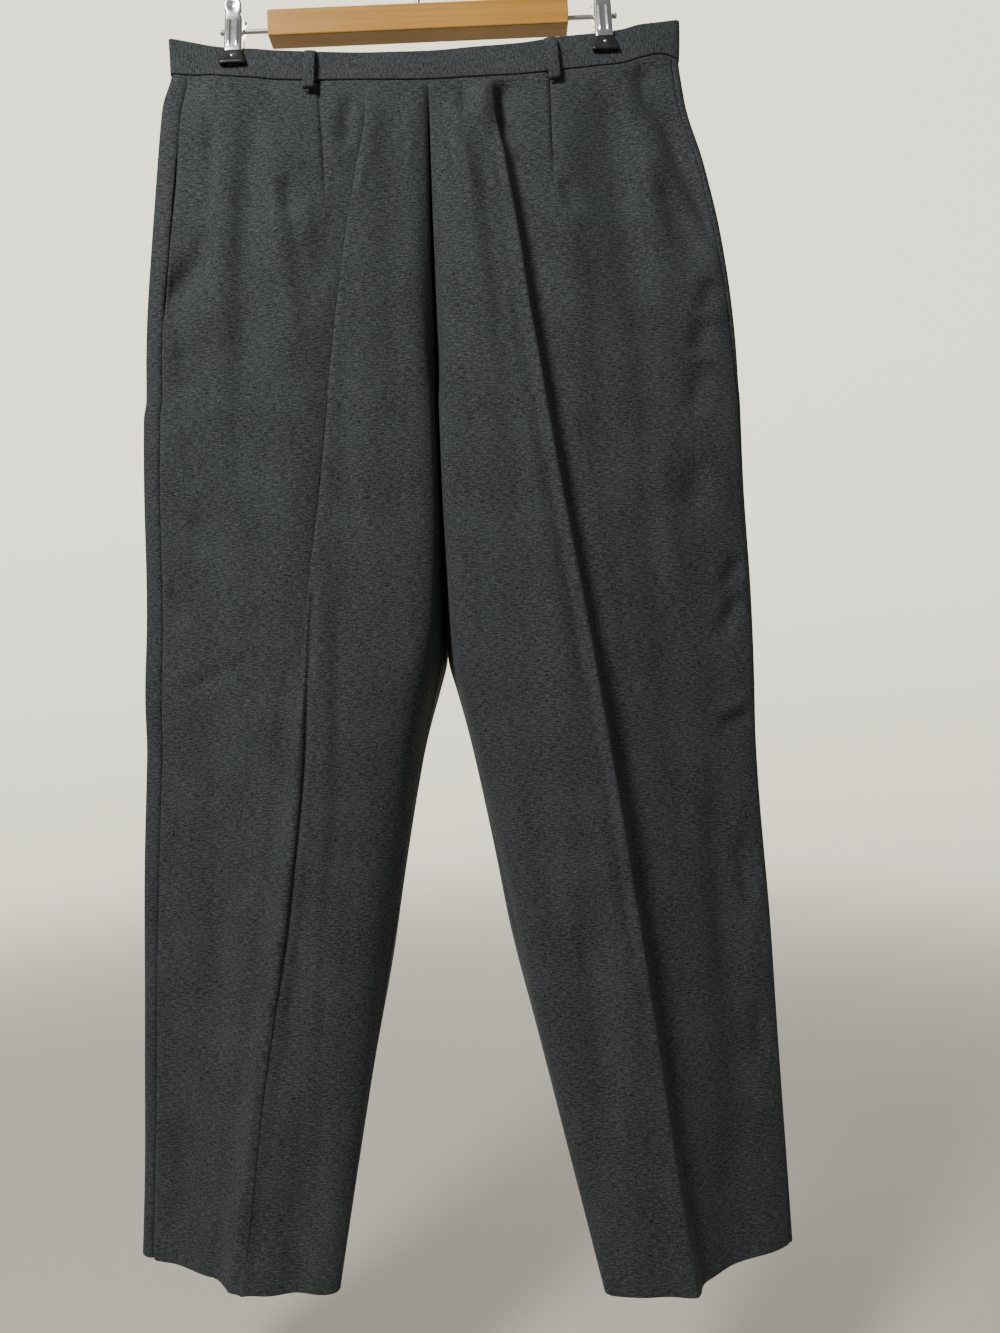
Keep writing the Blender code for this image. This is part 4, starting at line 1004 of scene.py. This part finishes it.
# the cloth at x and the drops, found between the columns of the back short of the side, or of
# the front from its pleat on
def clothAt(side, facing, x, drops, fly=False):
    sideColumns, pleatColumns = 12, 86
    if facing < 0:
        grid = backSurface(side, drops, 0, False)[0][:, :-sideColumns]
    else:
        grid = frontSurface(side, drops, 0, fly, False)[0][:, pleatColumns:]
    rows = []
    for row, at in zip(grid, x):
        row = row[np.argsort(row[:, 0])]
        y, z = (np.interp(at, row[:, 0], row[:, i]) for i in (1, 2))
        rows.append(stacked(at, y, z))
    return np.array(rows)


loop = {
    "path": (  # drop and how far off the cloth
        (-31.6, 2.3), (-30.6, 2.5), (-28, 4.2), (-24, 5.6), (-16, 6.4), (-7, 6.8), (0, 6.8),
        (6, 6.6), (9.6, 5.4), (10.2, 2.8),
    ),
    "places": (  # name, side, facing, x and how far its foot leans aside
        ("back_left", left, -1, -91.5, 0),
        ("back_right", right, -1, 110.5, 2.5),
        ("front_left", left, 1, -85, 0),
        ("front_right", right, 1, 99, 0),
    ),
    "width": 9.0,
    "thickness": 1.4,
    "crown": 0.35,
    "rolled": 0.5,
    "ridge": (0.28, 0.30, 0.05),  # depth, and place and half width in shares of the width
    "flat": (0.010, 0.062),
}


# the columns of a piece's path, each as a smooth curve through its rows
def smoothPath(table, count):
    knots = np.arange(len(table["path"]), dtype=float)
    t = np.linspace(0, knots[-1], count)
    return [throughTable(knots, np.array(column, float), t) for column in zip(*table["path"])]


# a loop follows its path over the cloth, a little crowned across, its edges rolled under
def buildLoops():
    drops, off = smoothPath(loop, 64)
    share = np.linspace(0, 1, 64)[:, None]
    across = np.linspace(-0.5, 0.5, 13)
    edge = np.abs(2 * across)
    crown = loop["crown"] * (1 - edge**2) - loop["rolled"] * edge**8
    deep, place, halfWidth = loop["ridge"]
    ridge = -deep * bell(np.abs(across) - place, halfWidth)
    uv = clothMap(across * loop["width"], drops)
    for name, side, facing, x, lean in loop["places"]:
        grid = clothAt(side, facing, x + lean * share + across * loop["width"], drops)
        grid[..., 1] += facing * (off[:, None] + crown + ridge)
        mesh = shellMesh(grid[:, ::facing], uv, loop["thickness"], (0, facing, 0))
        addPiece(
            f"beltLoop_{name}", mesh, "woolTurned", [f"belt_loop_{name}"],
        )


buildLoops()
print("belt loops built")


# a stitch or a tooth is a short six-sided bar with rounded ends, laid at many places at once
def rowOfBars(places, ways, length, width, height):
    ring = circleOf(6)
    ends = ((-0.5, 0.35), (-0.32, 1.0), (0.32, 1.0), (0.5, 0.35))
    local = np.array([
        (a * length, math.cos(r) * b * width / 2, math.sin(r) * b * height / 2)
        for a, b in ends for r in ring
    ])
    ways = unit(np.broadcast_to(ways, places.shape))
    beside = unit(np.cross((0, 1, 0), ways))
    axes = (ways, beside, np.cross(ways, beside))
    points = sum(
        (local[None, :, i:i + 1] * axis[:, None] for i, axis in enumerate(axes)), places[:, None],
    )
    walls = gridFaces(len(ends), len(ring), closed=True)[1][:, ::-1]
    caps = [(0, 1, 2, 3), (0, 3, 4, 5), (21, 20, 19, 18), (23, 22, 21, 18)]
    quads = np.concatenate([walls, caps])
    faces = quads[None] + len(local) * np.arange(len(places))[:, None, None]
    flat = points.reshape(-1, 3)
    return flat, faces.reshape(-1, 4), flat[:, [0, 2]]


# where a path is at the shares or lengths given, measured by the numbers in run
def pointsAlong(at, run, path):
    return stacked(*(np.interp(at, run, column) for column in path.T))


zipper = {
    "drops": (4, 159),
    "width": 24.0,
    "tape": 0.8,
    "pitch": 1.5,
    "tooth": (2.6, 0.85, 1.0),
    "clear": 0.3,  # twice this lies between the front panels and the tape
    "stagger": 0.75,
    "teeth": (0.05, 0.99),  # the shares of the line between which they lie
    "rib": (0.18, 2.2, 0.5),  # height, distance from the middle and half width
    "flat": (0.024, 0.156),
}


# the centre front line behind both front edges
def centreFront(drops):
    ends = []
    for side in (left, right):
        section = sectionFrame(side, drops)
        last = alongSection(section, section["places"][:, [cornerAt["end"]]])
        ends.append(toRowFrame(last, drops[:, None], side, 0)[:, -1])
    line = (ends[0] + ends[1]) / 2
    line[:, 0] = garment["centreX"]
    return line


def buildZip():
    drops = np.linspace(*zipper["drops"], 90)
    line = centreFront(drops)
    behind = garment["cloth"] / 2 + zipper["tape"] / 2 + 2 * zipper["clear"]
    across = np.linspace(-0.5, 0.5, 25) * zipper["width"]
    height, off, halfWidth = zipper["rib"]
    rib = height * bell(np.abs(across) - off, halfWidth)
    grid = line[:, None] + stacked(-across, rib - behind, 0)[None]
    addPiece(
        "zipTape", shellMesh(grid, clothMap(across, drops), zipper["tape"], (0, 1, 0)), "tape",
        ["zip_tape"],
    )
    count = int((line[0, 2] - line[-1, 2]) / zipper["pitch"]) - 6
    at = np.linspace(*zipper["teeth"], count)
    spot = pointsAlong(at, np.linspace(0, 1, len(line)), line)
    spot[:, 1] -= behind - zipper["tape"] / 2 - 0.35
    spot[:, 0] += np.where(np.arange(count) % 2, 1, -1) * zipper["stagger"]
    addPiece("zipTeeth", rowOfBars(spot, (1, 0, 0), *zipper["tooth"]), "steel")


buildZip()
print("zip built")


stitch = {
    "pitch": 3.1,
    "size": (2.4, 0.34, 0.30),
    "off": 34.0,  # how far the line lies beside the centre, and where it turns and ends
    "turn": 120.0,
    "end": 162.0,
    "endOff": 4.0,
}


# the fly's stitching: straight down beside the edge, then round to the centre seam
def buildStitches():
    off, turn, end, endOff = (stitch[key] for key in ("off", "turn", "end", "endOff"))
    t, straight, top = np.linspace(0, 1, 400), 0.72, 2
    bend = np.clip((t - straight) / (1 - straight), 0, 1) * math.pi / 2
    x = garment["centreX"] - endOff - (off - endOff) * np.cos(bend)
    drops = top + (turn - top) * np.clip(t / straight, 0, 1) + (end - turn) * np.sin(bend)
    path = clothAt(left, 1, x[:, None], drops, True)[:, 0]
    path[:, 1] += garment["cloth"] / 2 + 0.06
    run = np.append(0, np.cumsum(np.linalg.norm(np.diff(path, axis=0), axis=1)))
    at = np.arange(stitch["pitch"] / 2, run[-1], stitch["pitch"])
    spots = pointsAlong(at, run, path)
    ways = pointsAlong(at + 0.5, run, path) - spots
    keep = np.linalg.norm(ways, axis=1) > 0.1
    addPiece("flyStitches", rowOfBars(spots[keep], ways[keep], *stitch["size"]), "thread")


buildStitches()
print("stitches built")


# from a clip's own frame, whose origin is on the rod, to the row's
def clipPoints(side, x, y, z):
    tilt, turn = clip["tilt"][side], clip["barTilt"]
    y, z = y * math.cos(tilt) + z * math.sin(tilt), z * math.cos(tilt) - y * math.sin(tilt)
    x = x + side * clip["out"]
    x, z = x * math.cos(turn) - z * math.sin(turn), z * math.cos(turn) + x * math.sin(turn)
    return stacked(x, y, clip["rodZ"] + z)


jaw = {
    "path": (  # how far down, how far out, half width and height of the side walls
        (33, 4.8, 4.2, 0.3), (28.5, 4.8, 4.4, 0.4), (26, 4.9, 7, 1.2), (21.5, 5.6, 7.3, 2.8),
        (11, 6.5, 7.2, 4), (5, 6.8, 7.2, 8.5), (0, 6.9, 7.2, 10), (-5, 7.1, 7.2, 8.5),
        (-9.5, 7.6, 6.9, 3.6), (-12.5, 8.3, 6.1, 2.4), (-16, 9.7, 6.9, 1.8), (-19.5, 11, 7.1, 1.5),
        (-22.5, 11.8, 6, 1.2), (-24.4, 11.9, 4, 0.9), (-25.4, 11.7, 1.4, 0.6),
    ),
    "sheet": 0.9,
    "bend": 1.3,
    "flare": 0.12,
    "flutes": {"off": 3.3, "from": -5.0, "to": 18.5, "halfWidth": 0.95, "height": 1.0},
    "dent": {"down": -18.4, "halfWidth": 4.4, "depth": 1.7},
    "narrow": {-1: 0.0, 1: 1.7},
}


# a jaw is a bent channel: across it the section runs flat and turns down each side by
# (d + root of (d squared + bend squared)) / 2, with two pressed flutes and a dent for the thumb
def buildJaw(side, facing):
    down, out, half, wall = (column[:, None] for column in smoothPath(jaw, 110))
    half = half - jaw["narrow"][facing] * bell(down, 7)
    run = np.linspace(-1, 1, 61) * (half + wall)
    past = np.abs(run) - half
    bend = (past + np.sqrt(past**2 + jaw["bend"] ** 2)) / 2
    x = np.sign(run) * (np.abs(run) - bend + bend * jaw["flare"])
    flutes, dent = jaw["flutes"], jaw["dent"]
    top, foot, blur = flutes["from"], flutes["to"], 1.5
    window = fadeIn(down, top - blur, top + blur) * fadeOut(down, foot - blur, foot + blur)
    raised = flutes["height"] * window * bell(np.abs(x) - flutes["off"], flutes["halfWidth"])
    raised -= dent["depth"] * bell(np.hypot(x, down - dent["down"]), dent["halfWidth"])
    grid = clipPoints(side, x, facing * (out - bend + raised), -down)
    return shellMesh(grid, stacked(x, down), jaw["sheet"], (0, facing, 0))


pad = {
    "columns": ("down", "half", "swell"),
    "path": (
        (25.2, 7.7, 0), (27, 8.1, 0), (31, 9.2, 0), (34.6, 10.5, 0.1), (36.6, 11, 0.55),
        (37.8, 10.9, 0.45), (39, 10.2, 0),
    ),
    "middle": 4.8,
    "deep": 2.1,
    "round": 0.9,
    "power": 5.0,
    "rivet": {"down": 31.5, "radius": 1.45, "height": 0.85, "base": 6.75, "dimple": 0.5},
}


def roundedCorner(wave):
    return np.sign(wave) * np.abs(wave) ** (2 / pad["power"])


# a pad is a stack of rounded oblongs (x over half, and y over deep, each to the fifth power)
# that draw in at both ends as a quarter circle does
def buildPad(side, facing):
    path = columnsOf(pad["columns"], pad["path"])
    top, foot = path["down"][0], path["down"][-1]
    down = (top + (foot - top) * (1 - np.cos(np.linspace(0, math.pi, 49))) / 2)[:, None]
    near = np.clip(np.minimum(down - top, foot - down) / pad["round"], 0, 1)
    inset = pad["round"] * (1 - np.sqrt(1 - (1 - near) ** 2))
    ring = circleOf(96)
    half = throughTable(path["down"], path["half"], down) - inset
    x = half * roundedCorner(np.cos(ring))
    y = (pad["deep"] - inset) * roundedCorner(np.sin(ring))
    rivet = pad["rivet"]
    dimple = rivet["dimple"] * bell(np.hypot(x, down - rivet["down"]), 2)
    swell = throughTable(path["down"], path["swell"], down) - dimple
    y = pad["middle"] + y + swell * np.clip(y / pad["deep"], 0, 1) ** 2
    return loftMesh(clipPoints(side, x, facing * y, -down))


# a rivet's head is a dome: circles of radius r sin a at the height h cos a
def buildRivet(side, facing):
    rivet = pad["rivet"]
    a = np.linspace(0.06, math.pi / 2, 12)[:, None]
    ring = circleOf(32)
    x = rivet["radius"] * np.sin(a) * np.cos(ring)
    y = rivet["base"] + rivet["height"] * np.cos(a)
    z = rivet["radius"] * np.sin(a) * np.sin(ring) - rivet["down"]
    low = clipPoints(side, x[-1], facing * (y[-1] - 0.5), z[-1])
    return loftMesh(np.concatenate([clipPoints(side, x, facing * y, z), low[None]]))


spring = {
    "wire": 1.0, "radius": 2.75, "turns": 4, "width": 7.0, "reach": 4.6, "arm": 12.0, "press": 0.4,
}


# a helix round the rod, with an arm at each end that bears on a jaw
def buildSpring(side):
    lean = math.atan2(spring["reach"], spring["arm"])
    t = np.linspace(0, 1, 220)
    angle = math.pi + t * (2 * math.pi * spring["turns"] + math.pi + 2 * lean)
    x = np.linspace(-0.5, 0.5, 220) * spring["width"]
    coil = stacked(x, spring["radius"] * np.cos(angle), spring["radius"] * np.sin(angle))
    share = np.linspace(0, 1, 14)[:, None]
    reach = spring["reach"] + spring["press"]
    first, last = ((x[i], y, spring["arm"]) for i, y in ((0, -reach), (-1, reach)))
    path = np.concatenate([
        first + (coil[0] - first) * share[:-1], coil, coil[-1] + (last - coil[-1]) * share[1:],
    ])
    return tubeMesh(clipPoints(side, *path.T), spring["wire"] / 2, 12)


def buildClips():
    for side, name in sideNames.items():
        for part, facing in (("front", -1), ("back", 1)):
            end = f"{part}_{name}"
            addPiece(f"clipJaw_{end}", buildJaw(side, facing), "chrome", [f"clip_jaw_{end}"])
            addPiece(f"clipPad_{end}", buildPad(side, facing), "rubber", [f"clip_pad_{end}"])
            rivet = buildRivet(side, facing)
            addPiece(f"clipRivet_{end}", rivet, "chrome", [f"clip_pad_{end}_rivet"])
        addPiece(f"clipSpring_{name}", buildSpring(side), "steel", [f"clip_spring_{name}"])


buildClips()
print("clips built")


hanger = {
    "wire": 3.8,
    "inside": 21.0,
    "foot": -98.6,
    "neckTop": -58.0,
    "from": -48.0,  # degrees round the hook's bend
    "to": 200.0,
    "rod": 3.7,
    "rodIn": 108.5,
    "rodEnd": 167.5,
}


# the hook rises from the bar, sways to one side on a cubic curve and bends over in a circle
def buildHook():
    radius = hanger["inside"] + hanger["wire"] / 2
    angle = np.radians(np.linspace(hanger["from"], hanger["to"], 120))
    middle = np.array([0, hanger["wire"] / 2 - radius])
    bow = middle + radius * stacked(np.cos(angle), np.sin(angle))
    neck = np.array([0, hanger["neckTop"]])
    back = np.array([math.sin(angle[0]), -math.cos(angle[0])])
    a, b, c, d = neck, neck + (0, 13), bow[0] + 9 * back, bow[0]
    t = np.linspace(0, 1, 40)[:-1, None]
    sway = a * (1 - t) ** 3 + 3 * b * t * (1 - t) ** 2 + 3 * c * t**2 * (1 - t) + d * t**3
    stem = stacked(0, np.linspace(hanger["foot"], hanger["neckTop"] - 2, 12))
    x, z = np.concatenate([stem, sway, bow]).T
    mesh = tubeMesh(stacked(x, 0, z), hanger["wire"] / 2, 32)
    addPiece("hangerHook", mesh, "steel", ["hanger_hook"])


# each rod ends in a small head, hammered wider than the rod
def buildRods():
    turn, end = clip["barTilt"], hanger["rodEnd"]
    along = np.append(np.linspace(hanger["rodIn"], end - 1.6, 40), end - np.array([1.3, 0.9, 0.4]))
    wide = hanger["rod"] / 2 * np.where(along > end - 1.5, 1.35, 1)
    for side, name in sideNames.items():
        out = side * along
        path = stacked(out * math.cos(turn), 0, clip["rodZ"] + out * math.sin(turn))
        addPiece(f"rod_{name}_wire", tubeMesh(path, wide, 28), "steel", [f"rod_{name}"])


buildHook()
buildRods()
print("hook and rods built")


floor = {"z": -1.30, "radius": 3.2, "fade": (1.5, 3.1), "colour": (0.395, 0.376, 0.346, 1.0)}
sky = {
    "top": (1.98, 1.90, 1.48), "low": (0.66, 0.62, 0.53), "behind": (0.17, 0.175, 0.18),
    "from": -0.75, "to": 0.30, "leftward": 0.10,
}
lamps = {  # each one's place, size, energy and colour
    "keyLight": ((-1.02, -1.40, 0.80), 0.60, 60.0, (1.0, 0.98, 0.95)),
    "fillLight": ((1.1, -2.6, 0.6), 1.2, 3.0, (0.94, 0.97, 1.0)),
    "backLight": ((0.4, 2.0, 0.9), 1.8, 50.0, (1.0, 0.98, 0.95)),
}
lampsAim = (0.0, 0.0, -0.6)
camera = {
    "place": (0.051, -0.85, -0.644), "roll": 1.9,
    "focal": 1001.0, "tall": 1333.0,  # in pixels
    "sensor": 36.0,
}


def floorLook(spot):
    away = spot.node("ShaderNodeVectorMath", {"operation": "LENGTH"}, {0: spot}, "Value")
    return {"Alpha": 1.0 - away.between(*floor["fade"])}


def buildStage():
    constants = {"Roughness": 0.9, "Base Color": floor["colour"]}
    finishes["floor"] = material("paleFloor", constants, floorLook)
    finishes["floor"].surface_render_method = "BLENDED"
    side = np.linspace(-floor["radius"], floor["radius"], 17) / mm
    grid = stacked(side, side[:, None], floor["z"] / mm).reshape(-1, 3)
    mesh = (grid, gridFaces(len(side), len(side))[1], grid[:, :2])
    meshPiece("floor", mesh, "floor")


def buildLights():
    for name, (place, size, energy, colour) in lamps.items():
        data = bpy.data.lights.new(name, "AREA")
        data.shape = "DISK"
        data.size, data.energy, data.color = size, energy, colour
        made = objectOf(name, data)
        made.location = place
        made.rotation_mode = "QUATERNION"
        ahead = Vector(lampsAim) - Vector(place)
        made.rotation_quaternion = ahead.to_track_quat("-Z", "Y")


def buildSky():
    studio = bpy.data.worlds.new("studio")
    bpy.context.scene.world = studio
    studio.use_nodes = True
    tree = studio.node_tree
    coords = Wire(tree, tree.nodes.new("ShaderNodeTexCoord").outputs["Generated"])
    sideways, ahead, height = coords.axes()
    level = height.between(sky["from"], sky["to"]) - sideways * sky["leftward"]
    wall = level.blend(sky["low"], sky["top"])
    tone = ahead.between(0.35, 0.75).blend(sky["behind"], wall)
    tone.into(tree.nodes["Background"].inputs["Color"])


def buildCamera():
    data = bpy.data.cameras.new("camera")
    data.sensor_width = camera["sensor"]
    data.lens = camera["focal"] / camera["tall"] * camera["sensor"]
    data.clip_start = 0.05
    roll = math.radians(camera["roll"])
    across = Vector((math.cos(roll), 0, -math.sin(roll)))
    up = Vector((math.sin(roll), 0, math.cos(roll)))
    turn = Matrix((across, up, across.cross(up))).transposed()
    made = objectOf("camera", data)
    made.matrix_world = Matrix.Translation(camera["place"]) @ turn.to_4x4()
    bpy.context.scene.camera = made


buildStage()
buildLights()
buildSky()
buildCamera()
print("stage, lights and camera set")


def writeSize():
    bpy.context.view_layer.update()


solidFinishes = {  # the solids that still show
    "hanger_bar": "wood", "zip_slider": "steel", "waist_hook": "steel", "waist_bar": "steel",
}
for name, finish in solidFinishes.items():
    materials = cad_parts[name].data.materials
    materials.clear()
    materials.append(finishes[finish])
print("solids that show finished")

writeSize()
